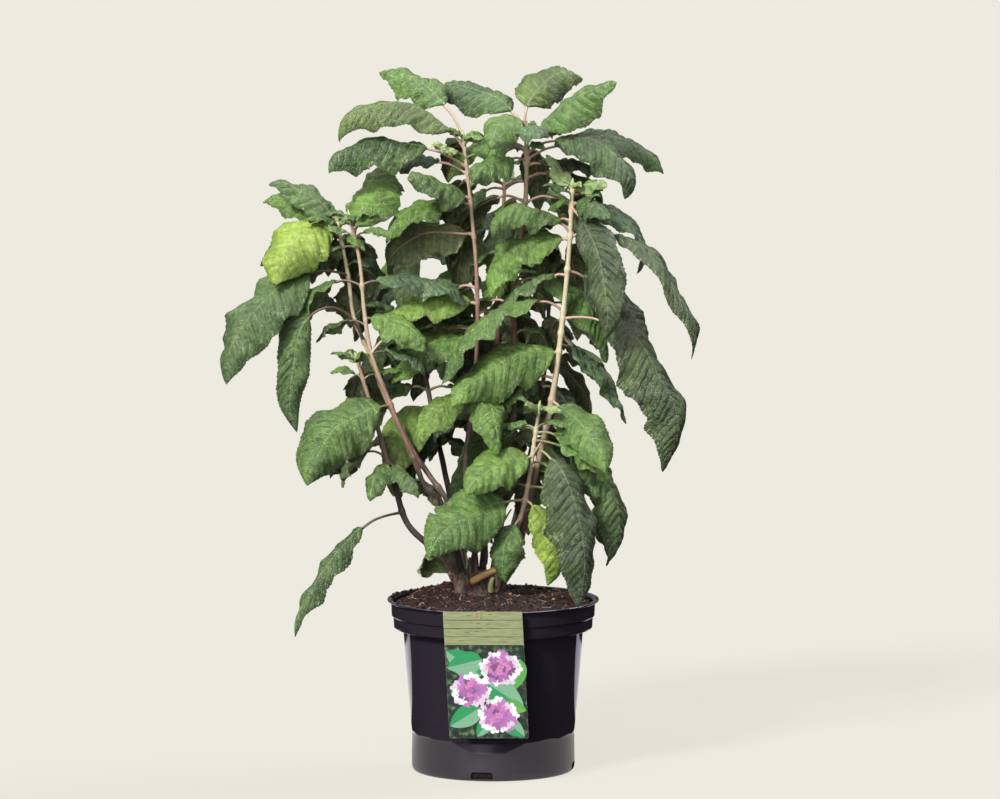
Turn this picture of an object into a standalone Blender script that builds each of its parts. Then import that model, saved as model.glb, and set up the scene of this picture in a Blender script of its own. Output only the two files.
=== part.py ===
"""Potted hydrangea shrub in leaf: a nursery pot with its soil and hang card, a woody crown,
canes that rise from it, and a leafy shoot on every cane. Metres, +Z up, the front towards -Y,
the origin at the centre of the pot's flat underside."""

import math
import random
from collections import namedtuple

import bmesh
import bpy
from mathutils import Vector
from mathutils.bvhtree import BVHTree

MM = 0.001
GAP = 0.3 * MM
SEED = 11
FRONT, BACK = -1, 1

# Pot, soil and card
SOIL_TOP = 234.7
POT_STEPS = 64
POT_PROFILE = (
    (0, 0), (104, 0), (107, 2.5), (108, 8), (107.5, 50), (119.5, 189), (131.5, 190), (132.5, 206),
    (134.6, 206.3), (135.6, 225.4), (140, 225.8), (140.2, 228), (134, 228), (131.5, 226),
    (129.5, 192.2), (117.2, 191.2), (105.2, 50), (105.4, 8), (102.5, 2.8), (0, 2.8),
)
SOIL_PROFILE = (
    (0, 3.1), (102.2, 3.1), (105, 8.2), (104.8, 50), (116.8, 191.7), (129.1, 192.7), (130.8, 221),
    (116, 226), (92, 231), (58, SOIL_TOP), (0, SOIL_TOP),
)
DRAIN_COUNT, DRAIN_WIDE, DRAIN_SHORT, DRAIN_LOW, DRAIN_HIGH = 4, 29, 22, 3.4, 12.5
DRAIN_FIRST = -98
CARD_WIDE, CARD_TALL, CARD_THICK = 103, 166, 0.8
CARD_TOP, CARD_X, CARD_TILT = 229.6, -13.8, -3.0
CARD_Y = -141.1
STRAP_WIDE, STRAP_Y, STRAP_FOOT = 10, -128.8, 222.5

# Woody crown: height above the soil and radius of each ring, and the lobes of its outline
CROWN_AT = (-17, 11)
CROWN_RINGS = ((0, 33), (5, 27), (13, 24), (22, 22), (30, 16))
CROWN_LOBES = ((3, 0.10, 0.5), (5, 0.07, 2.0))
SAWN_FROM, SAWN_TO, SAWN_RADIUS = (-24, -4, 249), (7, -25, 271), 4.4

# Canes: way points in mm from the crown to the tip, radii at foot and tip, the height at which
# the crown's stub ends, and the height at which leaves begin
Cane = namedtuple("Cane", "way foot_radius tip_radius stub leafy")
CANES = {
    "left_old": Cane(
        ((-38, -4, 238), (-50, -16, 285), (-62, -24, 345)), 8.8, 8.2, 266, None),
    "left_low": Cane(
        ((-40, 8, 240), (-73, -6, 288), (-112, -16, 328), (-131, -22, 386), (-155, -24, 468),
         (-178, -22, 545)), 4.8, 2.4, 266, 338),
    "left_front": Cane(
        ((-90, -34, 383), (-103, -40, 416), (-136, -46, 494), (-161, -44, 563), (-169, -40, 616),
         (-175, -36, 680), (-187, -34, 733)), 3.6, 2.2, None, 482),
    "left_outer": Cane(
        ((-82, -20, 391), (-99, -12, 415), (-143, -4, 499), (-164, 0, 555), (-183, 0, 600),
         (-190, -4, 652), (-204, -8, 728)), 3.6, 2.2, None, 566),
    "centre_left": Cane(
        ((-20, 6, 238), (-26, 4, 306), (-37, 2, 400), (-26, 4, 492), (-21, 4, 575), (-22, 2, 664),
         (-29, 0, 745), (-39, 0, 836)), 4.0, 2.0, 274, 470),
    "centre": Cane(
        ((-4, 18, 238), (15, 18, 357), (25, 18, 453), (28, 16, 569), (26, 15, 609), (30, 14, 662),
         (42, 12, 748), (44, 10, 846)), 4.6, 2.6, 276, 560),
    "right": Cane(
        ((7, 4, 238), (35, 0, 306), (52, -4, 379), (65, -6, 432), (79, -8, 503), (94, -10, 625),
         (101, -10, 710), (104, -10, 772)), 5.4, 2.6, 272, 484),
    "low_right": Cane(
        ((3, -9, 238), (26, -20, 306), (43, -28, 366), (53, -33, 432), (60, -36, 482)), 3.6, 2.2,
        264, 315),
    "back_left": Cane(
        ((-34, 26, 238), (-50, 56, 320), (-72, 98, 420), (-92, 132, 520), (-102, 146, 610),
         (-98, 150, 690)), 4.4, 2.2, 266, 294),
    "back": Cane(
        ((-16, 33, 238), (-8, 68, 340), (-2, 104, 450), (6, 134, 570), (12, 148, 690),
         (16, 150, 790)), 4.8, 2.2, 270, 400),
    "back_right": Cane(
        ((4, 28, 238), (30, 60, 330), (54, 100, 430), (70, 132, 530), (76, 148, 640)), 4.6, 2.2,
        270, 360),
}
FORKS = {"left_front": -4.3, "left_outer": 4.3}  # canes on top of the old cane, mm off its axis
FORK_RISE = 14
STEM_SIDES, LIMB_SIDES = 6, 8

# Leaves that show from the front. Each springs from its cane at a height; its tip ends so far to
# the side and so far below, on the near or the far side of the cane. Curl is how early it bends:
# evenly at 1, soon after the root at 2, and at the blade's base above 4. Millimetres and degrees.
Seen = namedtuple("Seen", "height petiole blade width rise side drop face roll curl")
SEEN_LEAVES = {
    "left_outer": (
        Seen(657, 56, 200, 84, 22, -167, 132, FRONT, 30, 1.7),
        Seen(723, 8, 136, 86, 20, -88, 72, FRONT, 30, 1.6),
        Seen(722, 12, 114, 52, 45, -108, -32, BACK, 35, 1.2),
        Seen(726, 12, 102, 46, 55, -91, -56, BACK, 30, 1.2),
        Seen(705, 14, 134, 60, 28, -114, 36, BACK, 45, 1.3),
        Seen(597, 24, 82, 44, 40, -74, -42, BACK, 0, 1.6),
        Seen(568, 112, 158, 42, 64, -97, 112, FRONT, 60, 6.0),
    ),
    "left_front": (
        Seen(712, 12, 112, 82, 70, 36, -96, BACK, 0, 1.6),
        Seen(647, 20, 132, 52, 25, 142, 20, BACK, 20, 1.2),
        Seen(489, 16, 156, 86, 5, -116, 94, FRONT, 50, 1.6),
        Seen(603, 8, 96, 54, 15, 86, 36, FRONT, 30, 1.4),
    ),
    "left_low": (
        Seen(345, 62, 172, 34, -6, -152, 144, FRONT, 24, 10.0),
        Seen(436, 20, 112, 60, 0, -61, 60, BACK, 40, 1.4),
        Seen(412, 8, 68, 34, 0, -24, 45, FRONT, 0, 1.4),
        Seen(410, 10, 66, 32, 0, 34, 37, FRONT, 0, 1.4),
    ),
    "centre_left": (
        Seen(836, 54, 112, 56, 70, -110, -94, BACK, 32, 1.5),
        Seen(822, 32, 188, 58, 61, -180, -26, FRONT, 24, 0.9),
        Seen(799, 60, 150, 60, 36, -191, -8, FRONT, 24, 0.8),
        Seen(790, 45, 96, 42, 30, -127, -12, BACK, 10, 1.0),
        Seen(757, 10, 98, 62, 32, -80, -37, FRONT, 35, 1.0),
        Seen(750, 25, 112, 44, 20, -120, 41, FRONT, 20, 1.4),
        Seen(710, 12, 132, 68, 15, -121, 36, BACK, -40, 1.2),
        Seen(618, 10, 130, 52, 25, -125, 15, FRONT, 30, 1.4),
        Seen(571, 12, 126, 60, 15, -117, 53, FRONT, 30, 1.4),
        Seen(584, 12, 112, 52, 15, -101, 20, BACK, -20, 1.4),
        Seen(492, 15, 110, 54, 20, -84, 60, FRONT, 25, 1.6),
        Seen(500, 15, 105, 50, 20, 33, 73, FRONT, 0, 1.8),
    ),
    "centre": (
        Seen(845, 36, 138, 54, 60, -132, -57, BACK, 30, 1.5),
        Seen(843, 30, 84, 54, 72, -50, 14, FRONT, 20, 1.6),
        Seen(822, 24, 76, 56, 85, 0, -22, FRONT, 0, 1.6),
        Seen(845, 34, 122, 56, 114, 74, -80, BACK, 45, 2.4),
        Seen(820, 10, 128, 56, 35, -113, 40, FRONT, 25, 1.2),
        Seen(807, 30, 85, 50, 20, -74, 15, FRONT, 20, 1.6),
        Seen(830, 30, 124, 64, 53, 116, -87, FRONT, 42, 1.3),
        Seen(816, 44, 156, 60, 40, 146, 56, FRONT, 25, 0.9),
        Seen(808, 44, 178, 62, 32, 190, 17, BACK, 30, 0.8),
        Seen(800, 18, 102, 46, 20, 105, 14, BACK, 15, 1.0),
    ),
    "right": (
        Seen(768, 8, 56, 26, 60, -33, -49, BACK, 30, 1.4),
        Seen(768, 8, 50, 26, 40, 46, -12, FRONT, 30, 1.4),
        Seen(750, 12, 72, 40, 30, 50, 13, FRONT, 20, 1.4),
        Seen(747, 25, 168, 54, -24, 46, 176, FRONT, 50, 1.0),
        Seen(664, 24, 140, 66, -14, 115, 112, BACK, 50, 1.0),
        Seen(740, 10, 134, 46, 20, 104, 85, BACK, 35, 1.0),
        Seen(708, 60, 196, 50, 24, 178, 152, FRONT, 12, 2.0),
        Seen(600, 62, 216, 80, 14, 146, 199, FRONT, 30, 1.5),
        Seen(580, 10, 150, 46, -36, 92, 121, BACK, 30, 1.0),
        Seen(704, 10, 134, 62, 20, -115, 70, FRONT, 35, 1.2),
        Seen(492, 15, 122, 60, -20, 76, 80, FRONT, 35, 1.2),
        Seen(712, 20, 128, 46, 60, -113, -4, FRONT, 25, 0.9),
        Seen(556, 6, 168, 76, 8, -146, 60, FRONT, 45, 1.4),
    ),
    "low_right": (
        Seen(420, 6, 112, 64, 5, -91, 36, FRONT, 45, 1.4),
        Seen(452, 25, 104, 50, 10, 101, 64, FRONT, 20, 1.4),
        Seen(432, 36, 206, 72, -5, 49, 209, FRONT, 20, 2.2),
        Seen(362, 30, 138, 84, 5, -132, 60, FRONT, 55, 1.2),
        Seen(442, 50, 164, 62, -4, 112, 168, BACK, 55, 1.2),
        Seen(380, 60, 112, 34, 0, 112, 109, BACK, 20, 1.0),
        Seen(336, 12, 84, 46, -20, -22, 84, FRONT, 20, 1.4),
        Seen(362, 15, 114, 48, -12, 40, 113, FRONT, 15, 1.4),
    ),
    "back_left": (Seen(299, 10, 95, 72, 0, -46, 60, BACK, 0, 1.4),),
}

# Leaves by rule: a pair at each node, every pair turned a right angle from the last. A cane with
# leaves that show keeps only the rule's rear ones.
Rule = namedtuple("Rule", "first spacing turn blade rear_only")
RULES = {
    "left_outer": Rule(650, 50, 0, 150, True),
    "left_front": Rule(645, 50, 165, 150, True),
    "left_low": Rule(522, 60, 90, 105, True),
    "centre_left": Rule(520, 60, 0, 160, True),
    "centre": Rule(590, 52, 90, 160, True),
    "right": Rule(610, 60, 165, 170, True),
    "low_right": Rule(350, 56, 150, 130, True),
    "back_left": Rule(462, 54, 60, 150, False),
    "back": Rule(436, 54, 165, 170, False),
    "back_right": Rule(386, 54, 120, 140, False),
}
RULE_JITTER = 16
WIDTH_SHARE = (0.30, 0.38)
RULE_RISE = (15, 45)
RULE_END = (-60, -88)
RULE_PETIOLE = (28, 46)
RULE_CURL = (1.1, 2.2)

# Leaf form
PATH_STEPS = 24
PETIOLE_RADIUS = 1.5
THICK_SHARE, THICK_LEAST = 0.0115, 2.0
PETIOLE_STATIONS = (0.0, 0.5, 0.94)
BLADE_STATIONS = (0.0, 0.10, 0.28, 0.50, 0.72, 0.90)
OUTLINE_RISE, OUTLINE_FALL = 0.55, 0.85
STEEPEST = -100
LATE = 4
ROOT_SUNK = 1.3
POT_CLEAR = (150, 240)
ROOT_CLEAR, STEEP_CLEAR = 12, 22
CAGE_EXTRA = 1.0
TURNS = (0, 6, -6, 12, -12, 18, -18, 26, -26, 34, -34)
SAGS = (0, 8, -8, 16, -16)

Leaf = namedtuple("Leaf", "root bearing rise end petiole blade width roll fold curl")
Solid = namedtuple("Solid", "points faces")

COLOURS = {
    "pot": ((0.014, 0.013, 0.018), 0.25),
    "soil": ((0.040, 0.020, 0.014), 0.9),
    "label": ((0.20, 0.26, 0.11), 0.5),
    "woody_crown": ((0.085, 0.040, 0.028), 0.8),
    "cane": ((0.22, 0.12, 0.075), 0.65),
    "foliage": ((0.115, 0.275, 0.065), 0.55),
}


def mm(*values):
    return Vector(values) * MM


# ---------------------------------------------------------------- meshes and objects

def material(name, kind):
    colour, roughness = COLOURS[kind]
    mat = bpy.data.materials.new(name)
    mat.use_nodes = True
    shader = mat.node_tree.nodes["Principled BSDF"]
    shader.inputs["Base Color"].default_value = (*colour, 1)
    shader.inputs["Roughness"].default_value = roughness
    shader.inputs["Metallic"].default_value = 0
    return mat


def new_collection(name, cutters=False):
    collection = bpy.data.collections.new(name)
    bpy.context.scene.collection.children.link(collection)
    collection.hide_render = cutters
    return collection


def mesh_object(name, solid, collection):
    """A closed mesh object with its faces turned outward."""
    mesh = bpy.data.meshes.new(name)
    mesh.from_pydata([tuple(p) for p in solid.points], [], solid.faces)
    bm = bmesh.new()
    bm.from_mesh(mesh)
    bmesh.ops.recalc_face_normals(bm, faces=bm.faces)
    bm.to_mesh(mesh)
    bm.free()
    obj = bpy.data.objects.new(name, mesh)
    collection.objects.link(obj)
    return obj


def loft(rings, tip=None):
    """A closed skin over rings of equal count, ending in a flat cap or at a tip."""
    sides = len(rings[0])
    points = [p for ring in rings for p in ring]
    faces = [tuple(reversed(range(sides)))]
    for k in range(len(rings) - 1):
        low = k * sides
        for i in range(sides):
            j = (i + 1) % sides
            faces.append((low + i, low + j, low + sides + j, low + sides + i))
    last = (len(rings) - 1) * sides
    if tip is None:
        faces.append(tuple(range(last, last + sides)))
    else:
        points.append(tip)
        faces += [(last + i, last + (i + 1) % sides, len(points) - 1) for i in range(sides)]
    return Solid(points, faces)


def boxed(centre, size):
    """A box as a solid, from its centre and its full sizes."""
    rings = []
    for z in (-0.5, 0.5):
        corners = ((-0.5, -0.5), (0.5, -0.5), (0.5, 0.5), (-0.5, 0.5))
        rings.append([centre + Vector((x * size.x, y * size.y, z * size.z)) for x, y in corners])
    return loft(rings)


def apply_modifiers(obj):
    graph = bpy.context.evaluated_depsgraph_get()
    mesh = bpy.data.meshes.new_from_object(obj.evaluated_get(graph))
    obj.modifiers.clear()
    obj.data = mesh


def fuse(name, solids, collection):
    """One object from several closed solids, by a Boolean union with a collection of the rest."""
    body = mesh_object(name, solids[0], collection)
    if len(solids) == 1:
        return body
    rest = new_collection(name + "_parts")
    helpers = [mesh_object(f"{name}_{i}", solid, rest) for i, solid in enumerate(solids[1:])]
    union = body.modifiers.new("Union", "BOOLEAN")
    union.operation = "UNION"
    union.operand_type = "COLLECTION"
    union.collection = rest
    union.solver = "MANIFOLD"
    apply_modifiers(body)
    for helper in helpers:
        bpy.data.objects.remove(helper)
    bpy.data.collections.remove(rest)
    return body


def finish(obj, kind):
    obj.data.materials.clear()
    obj.data.materials.append(material(obj.name, kind))
    return obj


# ---------------------------------------------------------------- pot, soil and card

def turned(name, profile, collection):
    """A shape turned about Z from its profile of (radius, height) in mm, by a Screw modifier."""
    points = [mm(radius, 0, height) for radius, height in profile]
    mesh = bpy.data.meshes.new(name)
    mesh.from_pydata([tuple(p) for p in points], [(i, i + 1) for i in range(len(points) - 1)], [])
    obj = bpy.data.objects.new(name, mesh)
    collection.objects.link(obj)
    screw = obj.modifiers.new("Screw", "SCREW")
    screw.steps = screw.render_steps = POT_STEPS
    screw.use_merge_vertices = True
    screw.merge_threshold = 1e-5
    screw.use_normal_calculate = True
    return obj


def drain_cutter(index, collection):
    """A window in the corner of the pot, narrower at its top."""
    angle = math.radians(DRAIN_FIRST + 360 * index / DRAIN_COUNT)
    out = Vector((math.cos(angle), math.sin(angle), 0))
    side = Vector((-out.y, out.x, 0))
    rings = []
    for z, wide in ((DRAIN_LOW, DRAIN_WIDE), (DRAIN_HIGH - 3, DRAIN_WIDE), (DRAIN_HIGH, DRAIN_SHORT)):
        corners = ((98, -1), (114, -1), (114, 1), (98, 1))
        rings.append([(out * r + side * s * wide / 2) * MM + mm(0, 0, z) for r, s in corners])
    cutter = mesh_object(f"drain_{index}", loft(rings), collection)
    cutter.hide_render = True
    cutter.display_type = "WIRE"
    return cutter


def build_pot(collection, cutters):
    pot = turned("pot", POT_PROFILE, collection)
    for index in range(DRAIN_COUNT):
        drain_cutter(index, cutters)
    cut = pot.modifiers.new("Drains", "BOOLEAN")
    cut.operation = "DIFFERENCE"
    cut.operand_type = "COLLECTION"
    cut.collection = cutters
    cut.solver = "EXACT"
    finish(pot, "pot")
    finish(turned("soil", SOIL_PROFILE, collection), "soil")


def build_label(collection):
    """The hang card in front of the pot, with its strap over the rim."""
    top = mm(CARD_X, CARD_Y, CARD_TOP)
    card = boxed(mm(0, 0, -CARD_TALL / 2), mm(CARD_WIDE, CARD_THICK, CARD_TALL))
    tilt = math.radians(CARD_TILT)
    turned_points = [
        top + Vector((p.x * math.cos(tilt) + p.z * math.sin(tilt), p.y,
                      p.z * math.cos(tilt) - p.x * math.sin(tilt)))
        for p in card.points
    ]
    bridge_z = CARD_TOP - CARD_THICK / 2 + 0.2
    reach = STRAP_Y - CARD_Y + CARD_THICK
    bridge = boxed(
        mm(CARD_X, (STRAP_Y + CARD_Y) / 2, bridge_z), mm(STRAP_WIDE, reach, CARD_THICK))
    leg_tall = bridge_z + CARD_THICK / 2 - STRAP_FOOT
    leg = boxed(
        mm(CARD_X, STRAP_Y, STRAP_FOOT + leg_tall / 2 - 0.05), mm(STRAP_WIDE - 0.4, CARD_THICK, leg_tall))
    label = fuse("label", [Solid(turned_points, card.faces), bridge, leg], collection)
    finish(label, "label")


# ---------------------------------------------------------------- limbs

def smooth_path(way, step=5 * MM):
    """Points on a smooth curve through the way points, about a step apart."""
    points = [way[0]]
    ends = [way[0] * 2 - way[1], *way, way[-1] * 2 - way[-2]]
    for a, b, c, d in zip(ends, ends[1:], ends[2:], ends[3:]):
        before, span, after = (b - a).length, (c - b).length, (d - c).length
        leave = ((c - b) * before / span + (b - a) * span / before) / (before + span) * span
        arrive = ((d - c) * span / after + (c - b) * after / span) / (span + after) * span
        count = max(2, round(span / step))
        for k in range(1, count + 1):
            t = k / count
            points.append(
                b * (2 * t**3 - 3 * t**2 + 1) + leave * (t**3 - 2 * t**2 + t)
                + c * (3 * t**2 - 2 * t**3) + arrive * (t**3 - t**2))
    return points


class Limb:
    """A tapering limb: where its axis runs, and how thick it is along it."""

    def __init__(self, way, foot_radius, tip_radius):
        self.points = smooth_path(way)
        self.lengths = [0.0]
        for a, b in zip(self.points, self.points[1:]):
            self.lengths.append(self.lengths[-1] + (b - a).length)
        self.total = self.lengths[-1]
        self.foot_radius = foot_radius
        self.tip_radius = tip_radius

    def at(self, distance):
        """Point, direction and radius at a distance from the foot."""
        k = 0
        while k < len(self.points) - 2 and self.lengths[k + 1] < distance:
            k += 1
        span = self.lengths[k + 1] - self.lengths[k]
        share = (distance - self.lengths[k]) / span
        point = self.points[k].lerp(self.points[k + 1], share)
        before = self.points[max(k - 1, 0)]
        after = self.points[min(k + 2, len(self.points) - 1)]
        radius = self.foot_radius + (self.tip_radius - self.foot_radius) * distance / self.total
        return point, (after - before).normalized(), radius

    def distance_at(self, height):
        """The distance from the foot at which the axis reaches a height."""
        for k, point in enumerate(self.points[1:], 1):
            if point.z >= height:
                low = self.points[k - 1].z
                share = (height - low) / (point.z - low)
                return self.lengths[k - 1] + share * (self.lengths[k] - self.lengths[k - 1])
        return self.total

    def tube(self, start, end, sides, spacing, pointed=False):
        """The limb's solid between two distances, its ends cut square or its tip pointed."""
        count = max(2, round((end - start) / spacing))
        rings = []
        for k in range(count + 1):
            point, along, radius = self.at(start + (end - start) * k / count)
            across = along.cross(Vector((0, 1, 0))).normalized()
            other = along.cross(across)
            turns = [2 * math.pi * i / sides for i in range(sides)]
            rings.append(
                [point + (across * math.cos(a) + other * math.sin(a)) * radius for a in turns])
        if not pointed:
            return loft(rings)
        point, along, radius = self.at(end)
        return loft(rings, point + along * radius * 3)


def make_limbs():
    """Every cane's limb, by name; the forked ones start on top of the old cane."""
    limbs = {}
    for name, cane in CANES.items():
        way = [mm(*point) for point in cane.way]
        if name in FORKS:
            old = limbs["left_old"]
            top, along, _ = old.at(old.total)
            across = Vector((along.z, 0, -along.x)).normalized()
            foot = top + along * GAP + across * FORKS[name] * MM
            way = [foot, foot + along * FORK_RISE * MM, *way]
        limbs[name] = Limb(way, cane.foot_radius * MM, cane.tip_radius * MM)
    return limbs


def limb_cuts(name, limb):
    """The distances at which a cane leaves the crown and at which its leafy shoot begins."""
    cane = CANES[name]
    low = limb.distance_at(cane.stub * MM) if cane.stub else 0.0
    high = limb.distance_at(cane.leafy * MM) if cane.leafy else limb.total
    return low, high


def crown_solids(limbs):
    """The woody crown: a flared, lobed foot, a stub for each cane and one that was sawn off."""
    rings = []
    for height, radius in CROWN_RINGS:
        ring = []
        for i in range(16):
            angle = 2 * math.pi * i / 16
            lobes = sum(size * math.cos(n * angle + turn) for n, size, turn in CROWN_LOBES)
            r = radius * (1 + lobes)
            ring.append(mm(CROWN_AT[0] + r * math.cos(angle), CROWN_AT[1] + r * math.sin(angle),
                           SOIL_TOP + 0.3 + height))
        rings.append(ring)
    solids = [loft(rings)]
    for name, limb in limbs.items():
        low, _ = limb_cuts(name, limb)
        if low:
            solids.append(limb.tube(0, low, LIMB_SIDES, 10 * MM))
    sawn = Limb([mm(*SAWN_FROM), mm(*SAWN_TO)], SAWN_RADIUS * MM, SAWN_RADIUS * MM)
    solids.append(sawn.tube(0, sawn.total, LIMB_SIDES, 40 * MM))
    return solids


# ---------------------------------------------------------------- leaves

def bend(leaf, share):
    """The slope of a leaf's axis, in radians, at a share of its length from the root."""
    if leaf.curl > LATE:
        share = share**2
    turn = 1 - (1 - share) ** leaf.curl
    return math.radians(leaf.rise + (leaf.end - leaf.rise) * turn)


def leaf_axis(leaf):
    """Reach and height along a leaf's axis, at even steps from its root."""
    step = (leaf.petiole + leaf.blade) * MM / PATH_STEPS
    reach, height = [0.0], [0.0]
    for k in range(PATH_STEPS):
        slope = bend(leaf, (k + 0.5) / PATH_STEPS)
        reach.append(reach[-1] + step * math.cos(slope))
        height.append(height[-1] + step * math.sin(slope))
    return reach, height


def leaf_frame(leaf, distance, roll_share):
    """Point, side and upper directions at a distance in mm along a leaf."""
    reach, height = leaf_axis(leaf)
    along = distance / (leaf.petiole + leaf.blade) * PATH_STEPS
    k = min(int(along), PATH_STEPS - 1)
    share = along - k
    bearing = math.radians(leaf.bearing)
    out = Vector((math.cos(bearing), math.sin(bearing), 0))
    up = Vector((0, 0, 1))
    point = leaf.root + out * (reach[k] + (reach[k + 1] - reach[k]) * share)
    point += up * (height[k] + (height[k + 1] - height[k]) * share)
    slope = bend(leaf, min(along / PATH_STEPS, 1.0))
    upper = up * math.cos(slope) - out * math.sin(slope)
    side = Vector((-out.y, out.x, 0))
    roll = math.radians(leaf.roll) * roll_share * (1 if out.x >= 0 else -1)
    return (point, side * math.cos(roll) + upper * math.sin(roll),
            upper * math.cos(roll) - side * math.sin(roll))


def outline(share):
    """Half width of a blade as a share of its greatest, from the base at 0 to the tip at 1."""
    peak = OUTLINE_RISE / (OUTLINE_RISE + OUTLINE_FALL)
    full = peak**OUTLINE_RISE * (1 - peak) ** OUTLINE_FALL
    return share**OUTLINE_RISE * (1 - share) ** OUTLINE_FALL / full


def leaf_solid(leaf, extra=0.0, start=-ROOT_SUNK):
    """A leaf as one closed blade on its petiole, folded along its midrib."""
    fold = math.radians(leaf.fold)
    thick = max(THICK_LEAST, THICK_SHARE * leaf.blade) / 2 + extra
    stations = [(start + (leaf.petiole - start) * s, 0.0, s) for s in PETIOLE_STATIONS]
    stations += [(leaf.petiole + leaf.blade * s, outline(s), 1.0) for s in BLADE_STATIONS]
    rings = []
    for distance, share, roll_share in stations:
        point, side, upper = leaf_frame(leaf, distance, roll_share)
        wide = max(leaf.width / 2 * share, PETIOLE_RADIUS) + extra
        low = wide * math.sin(fold) * share * MM
        left = side * wide * math.cos(fold * share) * MM
        rings.append([
            point + upper * thick * MM, point + left - upper * low,
            point - upper * thick * MM, point - left - upper * low])
    tip, _, _ = leaf_frame(leaf, leaf.petiole + leaf.blade, 1.0)
    return loft(rings, tip)


def drooped(leaf, drop):
    """The leaf with the end slope that puts its tip so far below its root."""
    low, high = STEEPEST, leaf.rise + 8.0
    for _ in range(20):
        leaf = leaf._replace(end=(low + high) / 2)
        if -leaf_axis(leaf)[1][-1] / MM > drop:
            low = leaf.end
        else:
            high = leaf.end
    return leaf


def aimed(seen, root, fold):
    """A leaf whose tip ends where it is seen: its droop gives the drop, its bearing the side.
    A blade too short to get there is lengthened by small steps."""
    leaf = Leaf(root, 0, seen.rise, 0, *seen[1:4], seen.roll, fold, seen.curl)
    for _ in range(12):
        leaf = drooped(leaf, seen.drop)
        reach, height = leaf_axis(leaf)
        if reach[-1] > abs(seen.side) * MM and abs(height[-1] / MM + seen.drop) < 2:
            break
        leaf = leaf._replace(blade=leaf.blade * 1.03)
    across = max(-1.0, min(1.0, seen.side * MM / reach[-1]))
    return leaf._replace(bearing=seen.face * math.degrees(math.acos(across)))


def rule_leaves(name, limb, dice):
    """Leaf pairs up a cane, each pair at a right angle to the last, smaller towards the tip."""
    rule = RULES[name]
    leaves = []
    height, pair = rule.first, 0
    top = limb.points[-1].z / MM
    while height < top:
        root, _, _ = limb.at(limb.distance_at(height * MM))
        young = 1 - 0.4 * ((height - rule.first) / (top - rule.first)) ** 2
        for half in (0, 180):
            bearing = rule.turn + 90 * pair + half + dice.uniform(-RULE_JITTER, RULE_JITTER)
            blade = rule.blade * young * dice.uniform(0.88, 1.12)
            leaf = Leaf(
                root, bearing, dice.uniform(*RULE_RISE), dice.uniform(*RULE_END),
                dice.uniform(*RULE_PETIOLE), blade, blade * dice.uniform(*WIDTH_SHARE),
                dice.uniform(-18, 18), dice.uniform(-6, 22), dice.uniform(*RULE_CURL))
            if math.sin(math.radians(bearing)) > 0 or not rule.rear_only:
                leaves.append(leaf)
        height += rule.spacing * dice.uniform(0.9, 1.1)
        pair += 1
    return leaves


class Space:
    """What already stands, so that no leaf touches a limb or another leaf."""

    def __init__(self):
        self.kept = []

    @staticmethod
    def cage(solid):
        low = [min(p[i] for p in solid.points) for i in range(3)]
        high = [max(p[i] for p in solid.points) for i in range(3)]
        return BVHTree.FromPolygons(solid.points, solid.faces), low, high

    def add(self, solid):
        self.kept.append(self.cage(solid))

    def clear(self, solid):
        tree, low, high = self.cage(solid)
        for other, other_low, other_high in self.kept:
            near = all(low[i] < other_high[i] and other_low[i] < high[i] for i in range(3))
            if near and tree.overlap(other):
                return False
        return True


def above_pot(cage):
    """Whether nothing of a leaf dips into the pot or its soil."""
    return all(p.z > POT_CLEAR[1] * MM or p.xy.length > POT_CLEAR[0] * MM for p in cage.points)


def settle(leaf, space):
    """The leaf as it stands, or turned or sagging by the least step that clears it, or None."""
    for sag in SAGS:
        for turn in TURNS:
            tried = leaf._replace(bearing=leaf.bearing + turn, end=max(leaf.end - sag, STEEPEST))
            cage = leaf_solid(tried, CAGE_EXTRA, STEEP_CLEAR if leaf.rise > 55 else ROOT_CLEAR)
            if above_pot(cage) and space.clear(cage):
                space.add(cage)
                return tried
    return None


def plan_leaves(limbs):
    """Every cane's leaves: first those that show, then those by rule where they have room."""
    dice = random.Random(SEED)
    space = Space()
    for name, limb in limbs.items():
        space.add(limb.tube(0, limb.total, LIMB_SIDES, 15 * MM))
    planned = {name: [] for name in RULES}
    for name, rows in SEEN_LEAVES.items():
        limb = limbs[name]
        for seen in rows:
            root, _, _ = limb.at(limb.distance_at(seen.height * MM))
            leaf = settle(aimed(seen, root, dice.uniform(0, 20)), space)
            planned[name].append(leaf)
    for name in RULES:
        planned[name] += [settle(leaf, space) for leaf in rule_leaves(name, limbs[name], dice)]
    return planned


# ---------------------------------------------------------------- the shrub

def build_shrub(collection):
    limbs = make_limbs()
    finish(fuse("woody_crown", crown_solids(limbs), collection), "woody_crown")
    for name, limb in limbs.items():
        low, high = limb_cuts(name, limb)
        start = low + GAP if low else 0.0
        cane = mesh_object("cane_" + name, limb.tube(start, high, LIMB_SIDES, 25 * MM), collection)
        finish(cane, "cane")
    for name, leaves in plan_leaves(limbs).items():
        limb = limbs[name]
        _, high = limb_cuts(name, limb)
        stem = limb.tube(high + GAP, limb.total, STEM_SIDES, 30 * MM, pointed=True)
        blades = [leaf_solid(leaf) for leaf in leaves if leaf]
        finish(fuse("foliage_" + name, [stem, *blades], collection), "foliage")


def main():
    for obj in list(bpy.data.objects):
        bpy.data.objects.remove(obj)
    shrub = new_collection("potted_hydrangea")
    cutters = new_collection("cutters", cutters=True)
    build_pot(shrub, cutters)
    build_label(shrub)
    build_shrub(shrub)


if __name__ == "__main__":
    main()
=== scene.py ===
"""Potted hydrangea shrub, dressed for a render: a glossy nursery pot with its compost and hang
card, gnarled wood, canes with their nodes, and veined leaves, each on its own stalk. Metres, +Z
up, the front towards -Y, the origin at the centre of the pot's flat underside."""

import math
import random
from collections import namedtuple

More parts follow.
